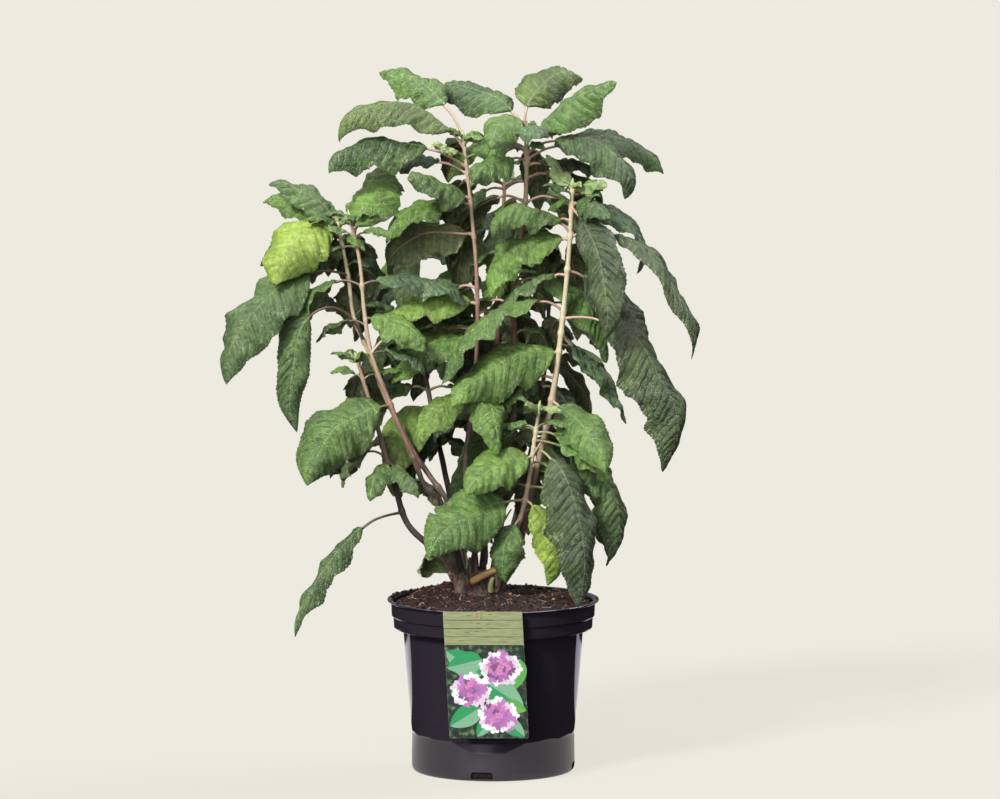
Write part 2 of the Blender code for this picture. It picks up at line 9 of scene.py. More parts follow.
import bmesh
import bpy
import numpy as np
from bpy.props import FloatProperty, FloatVectorProperty, IntProperty, PointerProperty
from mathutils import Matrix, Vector, noise
from mathutils.bvhtree import BVHTree


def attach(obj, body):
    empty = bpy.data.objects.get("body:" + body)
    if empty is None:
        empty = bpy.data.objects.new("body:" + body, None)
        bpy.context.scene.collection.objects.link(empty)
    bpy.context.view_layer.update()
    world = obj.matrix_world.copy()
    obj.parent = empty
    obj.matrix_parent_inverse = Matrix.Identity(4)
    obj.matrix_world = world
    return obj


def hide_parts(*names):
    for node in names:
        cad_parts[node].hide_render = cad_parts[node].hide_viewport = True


bl_info = {
    "name": "Potted hydrangea shrub",
    "version": (1, 0, 0),
    "blender": (4, 5, 0),
    "location": "View3D > Sidebar > Hydrangea",
    "description": "Builds a potted hydrangea shrub in leaf, piece by piece",
    "category": "Add Mesh",
}

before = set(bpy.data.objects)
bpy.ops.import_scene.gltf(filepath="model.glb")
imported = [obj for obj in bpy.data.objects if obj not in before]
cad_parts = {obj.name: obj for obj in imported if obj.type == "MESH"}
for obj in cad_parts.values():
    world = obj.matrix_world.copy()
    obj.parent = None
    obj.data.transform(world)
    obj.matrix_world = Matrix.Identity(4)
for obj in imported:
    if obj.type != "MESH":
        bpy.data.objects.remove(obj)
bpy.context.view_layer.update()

MM = 0.001
GAP = 0.3 * MM
SEED = 11
FRONT, BACK = -1, 1

# Pot, soil and card
SOIL_TOP = 234.7
POT_PROFILE = (
    (0, 0), (104, 0), (107, 2.5), (108, 8), (107.5, 50), (119.5, 189), (131.5, 190), (132.5, 206),
    (134.6, 206.3), (135.6, 225.4), (140, 225.8), (140.2, 228), (134, 228), (131.5, 226),
    (129.5, 192.2), (117.2, 191.2), (105.2, 50), (105.4, 8), (102.5, 2.8), (0, 2.8),
)
SOIL_PROFILE = (
    (0, 3.1), (102.2, 3.1), (105, 8.2), (104.8, 50), (116.8, 191.7), (129.1, 192.7), (130.8, 221),
    (116, 226), (92, 231), (58, SOIL_TOP), (0, SOIL_TOP),
)
DRAIN_COUNT, DRAIN_WIDE, DRAIN_SHORT, DRAIN_LOW, DRAIN_HIGH = 4, 29, 22, 3.4, 12.5
DRAIN_FIRST, DRAIN_ARCH, DRAIN_CUT = -98, 3.5, (98, 114)
CARD_WIDE, CARD_TALL, CARD_THICK = 103, 166, 0.8
CARD_TOP, CARD_X, CARD_TILT = 229.6, -13.8, -3.0
CARD_Y = -141.1
STRAP_WIDE, STRAP_Y, STRAP_FOOT = 10, -128.8, 222.5

# Woody crown, and the canes: way points in mm from the crown to the tip, radii at foot and tip,
# the height at which the crown's stub ends, and the height at which leaves begin
CROWN_AT = (-17, 11)
CROWN_RINGS = ((0, 33), (5, 27), (13, 24), (22, 22), (30, 16))
CROWN_LOBES = ((3, 0.10, 0.5), (5, 0.07, 2.0))
Cane = namedtuple("Cane", "way foot_radius tip_radius stub leafy")
CANES = {
    "left_old": Cane(
        ((-38, -4, 238), (-50, -16, 285), (-62, -24, 345)), 8.8, 8.2, 266, None),
    "left_low": Cane(
        ((-40, 8, 240), (-73, -6, 288), (-112, -16, 328), (-131, -22, 386), (-155, -24, 468),
         (-178, -22, 545)), 4.8, 2.4, 266, 338),
    "left_front": Cane(
        ((-90, -34, 383), (-103, -40, 416), (-136, -46, 494), (-161, -44, 563), (-169, -40, 616),
         (-175, -36, 680), (-187, -34, 733)), 3.6, 2.2, None, 482),
    "left_outer": Cane(
        ((-82, -20, 391), (-99, -12, 415), (-143, -4, 499), (-164, 0, 555), (-183, 0, 600),
         (-190, -4, 652), (-204, -8, 728)), 3.6, 2.2, None, 566),
    "centre_left": Cane(
        ((-20, 6, 238), (-26, 4, 306), (-37, 2, 400), (-26, 4, 492), (-21, 4, 575), (-22, 2, 664),
         (-29, 0, 745), (-39, 0, 836)), 4.0, 2.0, 274, 470),
    "centre": Cane(
        ((-4, 18, 238), (15, 18, 357), (25, 18, 453), (28, 16, 569), (26, 15, 609), (30, 14, 662),
         (42, 12, 748), (44, 10, 846)), 4.6, 2.6, 276, 560),
    "right": Cane(
        ((7, 4, 238), (35, 0, 306), (52, -4, 379), (65, -6, 432), (79, -8, 503), (94, -10, 625),
         (101, -10, 710), (104, -10, 772)), 5.4, 2.6, 272, 484),
    "low_right": Cane(
        ((3, -9, 238), (26, -20, 306), (43, -28, 366), (53, -33, 432), (60, -36, 482)), 3.6, 2.2,
        264, 315),
    "back_left": Cane(
        ((-34, 26, 238), (-50, 56, 320), (-72, 98, 420), (-92, 132, 520), (-102, 146, 610),
         (-98, 150, 690)), 4.4, 2.2, 266, 294),
    "back": Cane(
        ((-16, 33, 238), (-8, 68, 340), (-2, 104, 450), (6, 134, 570), (12, 148, 690),
         (16, 150, 790)), 4.8, 2.2, 270, 400),
    "back_right": Cane(
        ((4, 28, 238), (30, 60, 330), (54, 100, 430), (70, 132, 530), (76, 148, 640)), 4.6, 2.2,
        270, 360),
}
FORKS = {"left_front": -4.3, "left_outer": 4.3}  # canes on top of the old cane, mm off its axis
FORK_RISE = 14

# Leaves that show from the front. Each springs from its cane at a height; its tip ends so far to
# the side and so far below, on the near or the far side of the cane. Curl is how early it bends:
# evenly at 1, soon after the root at 2, and at the blade's base above 4. Millimetres and degrees.
Seen = namedtuple("Seen", "height petiole blade width rise side drop face roll curl")
SEEN_LEAVES = {
    "left_outer": (
        Seen(657, 56, 200, 84, 22, -167, 132, FRONT, 30, 1.7),
        Seen(723, 8, 136, 86, 20, -88, 72, FRONT, 30, 1.6),
        Seen(722, 12, 114, 52, 45, -108, -32, BACK, 35, 1.2),
        Seen(726, 12, 102, 46, 55, -91, -56, BACK, 30, 1.2),
        Seen(705, 14, 134, 60, 28, -114, 36, BACK, 45, 1.3),
        Seen(597, 24, 82, 44, 40, -74, -42, BACK, 0, 1.6),
        Seen(568, 112, 158, 42, 64, -97, 112, FRONT, 60, 6.0),
    ),
    "left_front": (
        Seen(712, 12, 112, 82, 70, 36, -96, BACK, 0, 1.6),
        Seen(647, 20, 132, 52, 25, 142, 20, BACK, 20, 1.2),
        Seen(489, 16, 156, 86, 5, -116, 94, FRONT, 50, 1.6),
        Seen(603, 8, 96, 54, 15, 86, 36, FRONT, 30, 1.4),
    ),
    "left_low": (
        Seen(345, 62, 172, 34, -6, -152, 144, FRONT, 24, 10.0),
        Seen(436, 20, 112, 60, 0, -61, 60, BACK, 40, 1.4),
        Seen(412, 8, 68, 34, 0, -24, 45, FRONT, 0, 1.4),
        Seen(410, 10, 66, 32, 0, 34, 37, FRONT, 0, 1.4),
    ),
    "centre_left": (
        Seen(836, 54, 112, 56, 70, -110, -94, BACK, 32, 1.5),
        Seen(822, 32, 188, 58, 61, -180, -26, FRONT, 24, 0.9),
        Seen(799, 60, 150, 60, 36, -191, -8, FRONT, 24, 0.8),
        Seen(790, 45, 96, 42, 30, -127, -12, BACK, 10, 1.0),
        Seen(757, 10, 98, 62, 32, -80, -37, FRONT, 35, 1.0),
        Seen(750, 25, 112, 44, 20, -120, 41, FRONT, 20, 1.4),
        Seen(710, 12, 132, 68, 15, -121, 36, BACK, -40, 1.2),
        Seen(618, 10, 130, 52, 25, -125, 15, FRONT, 30, 1.4),
        Seen(571, 12, 126, 60, 15, -117, 53, FRONT, 30, 1.4),
        Seen(584, 12, 112, 52, 15, -101, 20, BACK, -20, 1.4),
        Seen(492, 15, 110, 54, 20, -84, 60, FRONT, 25, 1.6),
        Seen(500, 15, 105, 50, 20, 33, 73, FRONT, 0, 1.8),
    ),
    "centre": (
        Seen(845, 36, 138, 54, 60, -132, -57, BACK, 30, 1.5),
        Seen(843, 30, 84, 54, 72, -50, 14, FRONT, 20, 1.6),
        Seen(822, 24, 76, 56, 85, 0, -22, FRONT, 0, 1.6),
        Seen(845, 34, 122, 56, 114, 74, -80, BACK, 45, 2.4),
        Seen(820, 10, 128, 56, 35, -113, 40, FRONT, 25, 1.2),
        Seen(807, 30, 85, 50, 20, -74, 15, FRONT, 20, 1.6),
        Seen(830, 30, 124, 64, 53, 116, -87, FRONT, 42, 1.3),
        Seen(816, 44, 156, 60, 40, 146, 56, FRONT, 25, 0.9),
        Seen(808, 44, 178, 62, 32, 190, 17, BACK, 30, 0.8),
        Seen(800, 18, 102, 46, 20, 105, 14, BACK, 15, 1.0),
    ),
    "right": (
        Seen(768, 8, 56, 26, 60, -33, -49, BACK, 30, 1.4),
        Seen(768, 8, 50, 26, 40, 46, -12, FRONT, 30, 1.4),
        Seen(750, 12, 72, 40, 30, 50, 13, FRONT, 20, 1.4),
        Seen(747, 25, 168, 54, -24, 46, 176, FRONT, 50, 1.0),
        Seen(664, 24, 140, 66, -14, 115, 112, BACK, 50, 1.0),
        Seen(740, 10, 134, 46, 20, 104, 85, BACK, 35, 1.0),
        Seen(708, 60, 196, 50, 24, 178, 152, FRONT, 12, 2.0),
        Seen(600, 62, 216, 80, 14, 146, 199, FRONT, 30, 1.5),
        Seen(580, 10, 150, 46, -36, 92, 121, BACK, 30, 1.0),
        Seen(704, 10, 134, 62, 20, -115, 70, FRONT, 35, 1.2),
        Seen(492, 15, 122, 60, -20, 76, 80, FRONT, 35, 1.2),
        Seen(712, 20, 128, 46, 60, -113, -4, FRONT, 25, 0.9),
        Seen(556, 6, 168, 76, 8, -146, 60, FRONT, 45, 1.4),
    ),
    "low_right": (
        Seen(420, 6, 112, 64, 5, -91, 36, FRONT, 45, 1.4),
        Seen(452, 25, 104, 50, 10, 101, 64, FRONT, 20, 1.4),
        Seen(432, 36, 206, 72, -5, 49, 209, FRONT, 20, 2.2),
        Seen(362, 30, 138, 84, 5, -132, 60, FRONT, 55, 1.2),
        Seen(442, 50, 164, 62, -4, 112, 168, BACK, 55, 1.2),
        Seen(380, 60, 112, 34, 0, 112, 109, BACK, 20, 1.0),
        Seen(336, 12, 84, 46, -20, -22, 84, FRONT, 20, 1.4),
        Seen(362, 15, 114, 48, -12, 40, 113, FRONT, 15, 1.4),
    ),
    "back_left": (Seen(299, 10, 95, 72, 0, -46, 60, BACK, 0, 1.4),),
}

# Leaves by rule: a pair at each node, every pair turned a right angle from the last. A cane with
# leaves that show keeps only the rule's rear ones.
Rule = namedtuple("Rule", "first spacing turn blade rear_only")
RULES = {
    "left_outer": Rule(650, 50, 0, 150, True),
    "left_front": Rule(645, 50, 165, 150, True),
    "left_low": Rule(522, 60, 90, 105, True),
    "centre_left": Rule(520, 60, 0, 160, True),
    "centre": Rule(590, 52, 90, 160, True),
    "right": Rule(610, 60, 165, 170, True),
    "low_right": Rule(350, 56, 150, 130, True),
    "back_left": Rule(462, 54, 60, 150, False),
    "back": Rule(436, 54, 165, 170, False),
    "back_right": Rule(386, 54, 120, 140, False),
}
RULE_JITTER = 16
WIDTH_SHARE = (0.30, 0.38)
RULE_RISE = (15, 45)
RULE_END = (-60, -88)
RULE_PETIOLE = (28, 46)
RULE_CURL = (1.1, 2.2)

# Leaf form
PATH_STEPS = 24
PETIOLE_RADIUS = 1.5
THICK_SHARE, THICK_LEAST = 0.0115, 2.0
PETIOLE_STATIONS = (0.0, 0.5, 0.94)
BLADE_STATIONS = (0.0, 0.10, 0.28, 0.50, 0.72, 0.90)
OUTLINE_RISE, OUTLINE_FALL = 0.55, 0.85
STEEPEST = -100
LATE = 4
ROOT_SUNK = 1.3
POT_CLEAR = (150, 240)
ROOT_CLEAR, STEEP_CLEAR = 12, 22
CAGE_EXTRA = 1.0
TURNS = (0, 6, -6, 12, -12, 18, -18, 26, -26, 34, -34)
SAGS = (0, 8, -8, 16, -16)
LIMB_SIDES, LIMB_SPACING = 8, 15

Leaf = namedtuple("Leaf", "root bearing rise end petiole blade width roll fold curl")
Solid = namedtuple("Solid", "points faces")

# Tone of each leaf that shows, in order; the others are dealt theirs by weight. Part of these tones
# is painted light: deep is painted shade and dark partly so, on leaves that lie in shadow, bright
# is painted light on lit leaves, and yellow, like young on the leaf of back_left, paints the glow
# of a leaf lit through from behind.
TONES = ("deep", "dark", "mid", "fresh", "bright", "blue", "olive", "yellow", "pale", "young")
QUILTED, PALE_BELOW = ("deep", "dark", "blue"), ("yellow", "pale", "young")
RIBS, UNDER, SCORCH = len(TONES), 2 * len(TONES), 2 * len(TONES) + 2
SEEN_TONES = {
    "left_outer": "dark yellow mid dark blue deep dark",
    "left_front": "fresh blue mid fresh",
    "left_low": "dark pale mid dark",
    "centre_left": "mid olive dark blue mid fresh fresh bright fresh dark bright fresh",
    "centre": "dark mid blue olive fresh mid mid dark dark deep",
    "right": "young pale mid deep deep blue deep deep blue fresh mid mid fresh",
    "low_right": "fresh fresh deep mid dark dark mid yellow",
    "back_left": "young",
}
RULE_TONES = {
    "deep": 16, "dark": 24, "mid": 24, "fresh": 13, "bright": 5, "blue": 8, "olive": 8, "pale": 2,
}
SMALL_TONES = {"deep": 24, "dark": 32, "mid": 26, "fresh": 8, "blue": 10}
TIP_TONES = {"mid": 40, "fresh": 40, "young": 20}
STALKS = {
    "left_outer": "maroon", "left_front": "maroon", "left_low": "maroon", "centre_left": "rosy",
    "centre": "rosy", "right": "rosy", "low_right": "green", "back_left": "green",
    "back": "rosy", "back_right": "green",
}

# Small leaves between the others: first height, bearing, blade length
SMALL_RULES = {
    "left_outer": (600, 30, 80), "left_front": (520, 100, 78), "left_low": (380, 60, 70),
    "centre_left": (500, 120, 92), "centre": (575, 60, 92), "right": (520, 140, 88),
    "low_right": (345, 40, 74), "back_left": (420, 20, 84), "back": (430, 80, 92),
    "back_right": (390, 150, 84),
}

# Young leaves at the tip of a shoot, in pairs: distance below it and length of the blade, in mm
TIP_PAIRS = ((2, 34), (9, 50), (26, 44))
GREEN_BELOW = 60  # length of blade below which its stalk is green

# Blade in the render: steps along its axis, and shares of the way from midrib to margin
LEAF_STEPS = 240
COLUMNS = (0, 0.12, 0.27, 0.43, 0.59, 0.74, 0.88, 1)
HALF = len(COLUMNS)

# Old wood in mm, each from, to and radius: dead twigs, pale stubs, pale shoots at the crown's foot,
# and blunt snags on the crown
DEAD_TWIGS = (
    ((-117, -18, 340), (-126, -22, 384), 2.6), ((-62, -24, 344), (-64, -28, 354), 5.6),
    ((-72, -30, 352), (-77, -38, 375), 1.6), ((-70, -26, 336), (-84, -36, 346), 1.5),
    ((-57, -22, 345), (-36, -30, 381), 1.4), ((-33, 6, 320), (-46, -8, 352), 1.5),
    ((10, 18, 320), (24, 8, 346), 1.6), ((30, -8, 300), (46, -20, 322), 1.5),
    ((-2, 14, 300), (-6, -4, 330), 1.7), ((-44, -8, 268), (-62, -22, 284), 1.8),
    ((24, -18, 288), (34, -34, 300), 1.4), ((-10, 40, 268), (-16, 46, 322), 2.2),
)
PALE_STUBS = (
    ((-160, -45, 558), (-128, -62, 590), 1.9), ((54, -33, 424), (62, -50, 440), 1.7),
)
CROWN_SHOOTS = (((-3, -13, 240), (0, -27, 259), 4.4), ((5, -11, 244), (7, -19, 276), 2.3))
SNAGS = (
    ((-44, 8, 240), (-58, -2, 262), 4.2), ((-30, -10, 240), (-36, -24, 262), 3.6),
    ((-6, -10, 240), (-2, -22, 256), 3.4), ((-22, 24, 244), (-26, 30, 286), 4.0),
    ((4, 6, 240), (18, 2, 258), 3.6), ((-30, 0, 244), (-31, -6, 284), 3.8),
)
# The sawn stub as it lies across the front of the crown, in mm
SAWN_RADIUS = 4.4
SAWN_LIES = ((-30, -12, 251), (-22, -24, 257), (8, -29, 273))

# Surface of the compost in mm: its radius, and how wide it lies level along its edge; crumbs on
# the rim, and those of them that lie together
SOIL_EDGE, SOIL_FADE = 131, 8
RIM_CRUMBS, RIM_CLUSTER = 70, 60

# Print on the card in mm: leaves by foot, turn in radians and length, and flower heads by middle
# and radius, each across and down from the middle of the top edge. Its finishes in order: planks,
# ground, 2 and 3 leaves, 4 to 10 petals, 11 knots, 12 and 13 pale leaves
CARD_LEAVES = (
    (-6, 84, -2.5, 56), (46, 62, 2.0, 50), (-2, 92, 0.6, 60), (-10, 126, 2.6, 60),
    (2, 140, 2.2, 52), (-4, 62, 2.9, 50), (24, 120, 0.35, 50), (18, 140, 0.7, 56),
    (-40, 116, -1.2, 34),
)
CARD_FLOWERS = ((19, 74, 25), (-21, 103, 24), (13, 136, 25))
PLANKS, FLORETS = 4, 44
WHITE, LIME = (0.9, 0.9, 0.9), (0.16, 0.40, 0.06)


def mm(*values):
    return Vector(values) * MM


def loft(rings, tip=None):
    """A closed solid over rings of equal count, ending in a flat cap or at a tip."""
    sides = len(rings[0])
    points = [p for ring in rings for p in ring]
    faces = [tuple(reversed(range(sides)))]
    for k in range(len(rings) - 1):
        low = k * sides
        for i in range(sides):
            j = (i + 1) % sides
            faces.append((low + i, low + j, low + sides + j, low + sides + i))
    last = (len(rings) - 1) * sides
    if tip is None:
        faces.append(tuple(range(last, last + sides)))
    else:
        points.append(tip)
        faces += [(last + i, last + (i + 1) % sides, len(points) - 1) for i in range(sides)]
    return Solid(points, faces)


def smooth_path(way, step=5 * MM):
    """Points on a smooth curve through the way points, about a step apart."""
    points = [way[0]]
    ends = [way[0] * 2 - way[1], *way, way[-1] * 2 - way[-2]]
    for a, b, c, d in zip(ends, ends[1:], ends[2:], ends[3:]):
        before, span, after = (b - a).length, (c - b).length, (d - c).length
        leave = ((c - b) * before / span + (b - a) * span / before) / (before + span) * span
        arrive = ((d - c) * span / after + (c - b) * after / span) / (span + after) * span
        count = max(2, round(span / step))
        for k in range(1, count + 1):
            t = k / count
            points.append(
                b * (2 * t**3 - 3 * t**2 + 1) + leave * (t**3 - 2 * t**2 + t)
                + c * (3 * t**2 - 2 * t**3) + arrive * (t**3 - t**2))
    return points


class Limb:
    """A tapering limb: where its axis runs, and how thick it is along it."""

    def __init__(self, way, foot_radius, tip_radius):
        self.points = smooth_path(way)
        self.lengths = [0.0]
        for a, b in zip(self.points, self.points[1:]):
            self.lengths.append(self.lengths[-1] + (b - a).length)
        self.total = self.lengths[-1]
        self.foot_radius = foot_radius
        self.tip_radius = tip_radius

    def at(self, distance):
        """Point, direction and radius at a distance from the foot."""
        k = 0
        while k < len(self.points) - 2 and self.lengths[k + 1] < distance:
            k += 1
        span = self.lengths[k + 1] - self.lengths[k]
        share = (distance - self.lengths[k]) / span
        point = self.points[k].lerp(self.points[k + 1], share)
        before = self.points[max(k - 1, 0)]
        after = self.points[min(k + 2, len(self.points) - 1)]
        radius = self.foot_radius + (self.tip_radius - self.foot_radius) * distance / self.total
        return point, (after - before).normalized(), radius

    def distance_at(self, height):
        """The distance from the foot at which the axis reaches a height."""
        for k, point in enumerate(self.points[1:], 1):
            if point.z >= height:
                low = self.points[k - 1].z
                share = (height - low) / (point.z - low)
                return self.lengths[k - 1] + share * (self.lengths[k] - self.lengths[k - 1])
        return self.total

    def solid(self):
        """The limb as a closed tube of few facets, which leaves keep clear of."""
        count = max(2, round(self.total / (LIMB_SPACING * MM)))
        rings = []
        for k in range(count + 1):
            point, along, radius = self.at(self.total * k / count)
            across = along.cross(Vector((0, 1, 0))).normalized()
            other = along.cross(across)
            turns = [2 * math.pi * i / LIMB_SIDES for i in range(LIMB_SIDES)]
            rings.append(
                [point + (across * math.cos(a) + other * math.sin(a)) * radius for a in turns])
        return loft(rings)


def make_limbs():
    """Every cane's limb, by name; the forked ones start on top of the old cane."""
    limbs = {}
    for name, cane in CANES.items():
        way = [mm(*point) for point in cane.way]
        if name in FORKS:
            old = limbs["left_old"]
            top, along, _ = old.at(old.total)
            across = Vector((along.z, 0, -along.x)).normalized()
            foot = top + along * GAP + across * FORKS[name] * MM
            way = [foot, foot + along * FORK_RISE * MM, *way]
        limbs[name] = Limb(way, cane.foot_radius * MM, cane.tip_radius * MM)
    return limbs


def limb_cuts(name, limb):
    """The distances at which a cane leaves the crown and at which its leafy shoot begins."""
    cane = CANES[name]
    low = limb.distance_at(cane.stub * MM) if cane.stub else 0.0
    high = limb.distance_at(cane.leafy * MM) if cane.leafy else limb.total
    return low, high


def bend(leaf, share):
    """The slope of a leaf's axis, in radians, at a share of its length from the root."""
    if leaf.curl > LATE:
        share = share**2
    turn = 1 - (1 - share) ** leaf.curl
    return math.radians(leaf.rise + (leaf.end - leaf.rise) * turn)


def leaf_axis(leaf):
    """Reach and height along a leaf's axis, at even steps from its root."""
    step = (leaf.petiole + leaf.blade) * MM / PATH_STEPS
    reach, height = [0.0], [0.0]
    for k in range(PATH_STEPS):
        slope = bend(leaf, (k + 0.5) / PATH_STEPS)
        reach.append(reach[-1] + step * math.cos(slope))
        height.append(height[-1] + step * math.sin(slope))
    return reach, height


def leaf_frame(leaf, distance, roll_share):
    """Point, side and upper directions at a distance in mm along a leaf."""
    reach, height = leaf_axis(leaf)
    along = distance / (leaf.petiole + leaf.blade) * PATH_STEPS
    k = min(int(along), PATH_STEPS - 1)
    share = along - k
    bearing = math.radians(leaf.bearing)
    out = Vector((math.cos(bearing), math.sin(bearing), 0))
    up = Vector((0, 0, 1))
    point = leaf.root + out * (reach[k] + (reach[k + 1] - reach[k]) * share)
    point += up * (height[k] + (height[k + 1] - height[k]) * share)
    slope = bend(leaf, min(along / PATH_STEPS, 1.0))
    upper = up * math.cos(slope) - out * math.sin(slope)
    side = Vector((-out.y, out.x, 0))
    roll = math.radians(leaf.roll) * roll_share * (1 if out.x >= 0 else -1)
    return (point, side * math.cos(roll) + upper * math.sin(roll),
            upper * math.cos(roll) - side * math.sin(roll))


def outline(share):
    """Half width of a blade as a share of its greatest, from the base at 0 to the tip at 1."""
    peak = OUTLINE_RISE / (OUTLINE_RISE + OUTLINE_FALL)
    full = peak**OUTLINE_RISE * (1 - peak) ** OUTLINE_FALL
    return share**OUTLINE_RISE * (1 - share) ** OUTLINE_FALL / full


def leaf_solid(leaf, extra=0.0, start=-ROOT_SUNK):
    """A leaf as one closed blade on its petiole, folded along its midrib."""
    fold = math.radians(leaf.fold)
    thick = max(THICK_LEAST, THICK_SHARE * leaf.blade) / 2 + extra
    stations = [(start + (leaf.petiole - start) * s, 0.0, s) for s in PETIOLE_STATIONS]
    stations += [(leaf.petiole + leaf.blade * s, outline(s), 1.0) for s in BLADE_STATIONS]
    rings = []
    for distance, share, roll_share in stations:
        point, side, upper = leaf_frame(leaf, distance, roll_share)
        wide = max(leaf.width / 2 * share, PETIOLE_RADIUS) + extra
        low = wide * math.sin(fold) * share * MM
        left = side * wide * math.cos(fold * share) * MM
        rings.append([
            point + upper * thick * MM, point + left - upper * low,
            point - upper * thick * MM, point - left - upper * low])
    tip, _, _ = leaf_frame(leaf, leaf.petiole + leaf.blade, 1.0)
    return loft(rings, tip)


def drooped(leaf, drop):
    """The leaf with the end slope that puts its tip so far below its root."""
    low, high = STEEPEST, leaf.rise + 8.0
    for _ in range(20):
        leaf = leaf._replace(end=(low + high) / 2)
        if -leaf_axis(leaf)[1][-1] / MM > drop:
            low = leaf.end
        else:
            high = leaf.end
    return leaf


def aimed(seen, root, fold):
    """A leaf whose tip ends where it is seen: its droop gives the drop, its bearing the side.
    A blade too short to get there is lengthened by small steps."""
    leaf = Leaf(root, 0, seen.rise, 0, *seen[1:4], seen.roll, fold, seen.curl)
    for _ in range(12):
        leaf = drooped(leaf, seen.drop)
        reach, height = leaf_axis(leaf)
        if reach[-1] > abs(seen.side) * MM and abs(height[-1] / MM + seen.drop) < 2:
            break
        leaf = leaf._replace(blade=leaf.blade * 1.03)
    across = max(-1.0, min(1.0, seen.side * MM / reach[-1]))
    return leaf._replace(bearing=seen.face * math.degrees(math.acos(across)))


def rule_leaves(name, limb, dice):
    """Leaf pairs up a cane, each pair at a right angle to the last, smaller towards the tip."""
    rule = RULES[name]
    leaves = []
    height, pair = rule.first, 0
    top = limb.points[-1].z / MM
    while height < top:
        root, _, _ = limb.at(limb.distance_at(height * MM))
        young = 1 - 0.4 * ((height - rule.first) / (top - rule.first)) ** 2
        for half in (0, 180):
            bearing = rule.turn + 90 * pair + half + dice.uniform(-RULE_JITTER, RULE_JITTER)
            blade = rule.blade * young * dice.uniform(0.88, 1.12)
            leaf = Leaf(
                root, bearing, dice.uniform(*RULE_RISE), dice.uniform(*RULE_END),
                dice.uniform(*RULE_PETIOLE), blade, blade * dice.uniform(*WIDTH_SHARE),
                dice.uniform(-18, 18), dice.uniform(-6, 22), dice.uniform(*RULE_CURL))
            if math.sin(math.radians(bearing)) > 0 or not rule.rear_only:
                leaves.append(leaf)
        height += rule.spacing * dice.uniform(0.9, 1.1)
        pair += 1
    return leaves


class Space:
    """What already stands, limbs first, so that no leaf touches a limb or another leaf."""

    def __init__(self, limbs):
        self.kept = [self.cage(limb.solid()) for limb in limbs.values()]

    @staticmethod
    def cage(solid):
        low = [min(p[i] for p in solid.points) for i in range(3)]
        high = [max(p[i] for p in solid.points) for i in range(3)]
        return BVHTree.FromPolygons(solid.points, solid.faces), low, high

    def add(self, solid):
        self.kept.append(self.cage(solid))

    def clear(self, solid):
        tree, low, high = self.cage(solid)
        for other, other_low, other_high in self.kept:
            near = all(low[i] < other_high[i] and other_low[i] < high[i] for i in range(3))
            if near and tree.overlap(other):
                return False
        return True


def above_pot(cage):
    """Whether nothing of a leaf dips into the pot or its soil."""
    return all(p.z > POT_CLEAR[1] * MM or p.xy.length > POT_CLEAR[0] * MM for p in cage.points)


def settle(leaf, space):
    """The leaf as it stands, or turned or sagging by the least step that clears it, or None."""
    for sag in SAGS:
        for turn in TURNS:
            tried = leaf._replace(bearing=leaf.bearing + turn, end=max(leaf.end - sag, STEEPEST))
            cage = leaf_solid(tried, CAGE_EXTRA, STEEP_CLEAR if leaf.rise > 55 else ROOT_CLEAR)
            if above_pot(cage) and space.clear(cage):
                space.add(cage)
                return tried
    return None


def plan_leaves(limbs):
    """Every cane's leaves: first those that show, then those by rule where they have room."""
    dice, space = random.Random(SEED), Space(limbs)
    planned = {name: [] for name in RULES}
    for name, rows in SEEN_LEAVES.items():
        limb = limbs[name]
        for seen in rows:
            root, _, _ = limb.at(limb.distance_at(seen.height * MM))
            leaf = settle(aimed(seen, root, dice.uniform(0, 20)), space)
            planned[name].append(leaf)
    for name in RULES:
        planned[name] += [settle(leaf, space) for leaf in rule_leaves(name, limbs[name], dice)]
    return planned


# Settings

def linear(red, green, blue):
    """A colour as it looks on screen, 0 to 255, as the linear numbers that Blender works in."""
    parts = [part / 255 for part in (red, green, blue)]
    return tuple(p / 12.92 if p <= 0.04045 else ((p + 0.055) / 1.055) ** 2.4 for p in parts)


def colour(name, text, *screen):
    return FloatVectorProperty(
        name=name, description=text, default=linear(*screen), size=3, min=0, max=1,
        subtype="COLOR")


def length(name, text, value, high=0.1):
    return FloatProperty(
        name=name, description=text, default=value, min=0, max=high, precision=5,
        subtype="DISTANCE", unit="LENGTH")


def share(name, text, value, high=1.0):
    return FloatProperty(
        name=name, description=text, default=value, min=0, max=high, subtype="FACTOR")


def count(name, text, value, low=1, high=20000):
    return IntProperty(name=name, description=text, default=value, min=low, max=high)


def strength(name, text, value):
    return FloatProperty(name=name, description=text, default=value, min=0)


class PotSettings(bpy.types.PropertyGroup):
    plastic: colour("Plastic", "Colour of the moulded pot", 42, 37, 45)
    dust: colour("Dust", "Colour of the dried splashes near the rim", 92, 80, 72)
    roughness: share("Roughness", "How matt the plastic is", 0.06)
    corner: length("Corner radius", "Radius of the moulded edges", 0.0018, 0.003)
    steps: count("Steps", "Facets round the pot", 160, 24, 720)


class SoilSettings(bpy.types.PropertyGroup):
    earth: colour("Earth", "Colour of the damp compost", 36, 23, 21)
    bark_chip: colour("Bark chips", "Colour of the reddish chips", 100, 62, 50)
    straw: colour("Straw", "Colour of the pale fibres", 148, 122, 104)
    heave: length("Heave", "How uneven the surface is", 0.0045, 0.01)
    crumbs: count("Crumbs", "Crumbs on the surface", 4600)
    chips: count("Chips", "Bark chips on the surface", 460)
    fibres: count("Fibres", "Fibres on the surface", 190)


class CardSettings(bpy.types.PropertyGroup):
    board: colour("Board", "Colour of the card's back and edges", 214, 218, 198)
    plank: colour("Planks", "Colour of the planked header", 148, 155, 108)
    ground: colour("Ground", "Colour behind the flowers", 26, 44, 34)
    leaf: colour("Leaves", "Colour of the printed leaves", 38, 146, 84)
    petal: colour("Petals", "Colour of the printed petals", 184, 116, 182)
    header: share("Header", "The header's share of the card's height", 0.265)
    corner: length("Corner radius", "Radius of the card's corners", 0.0015, 0.01)


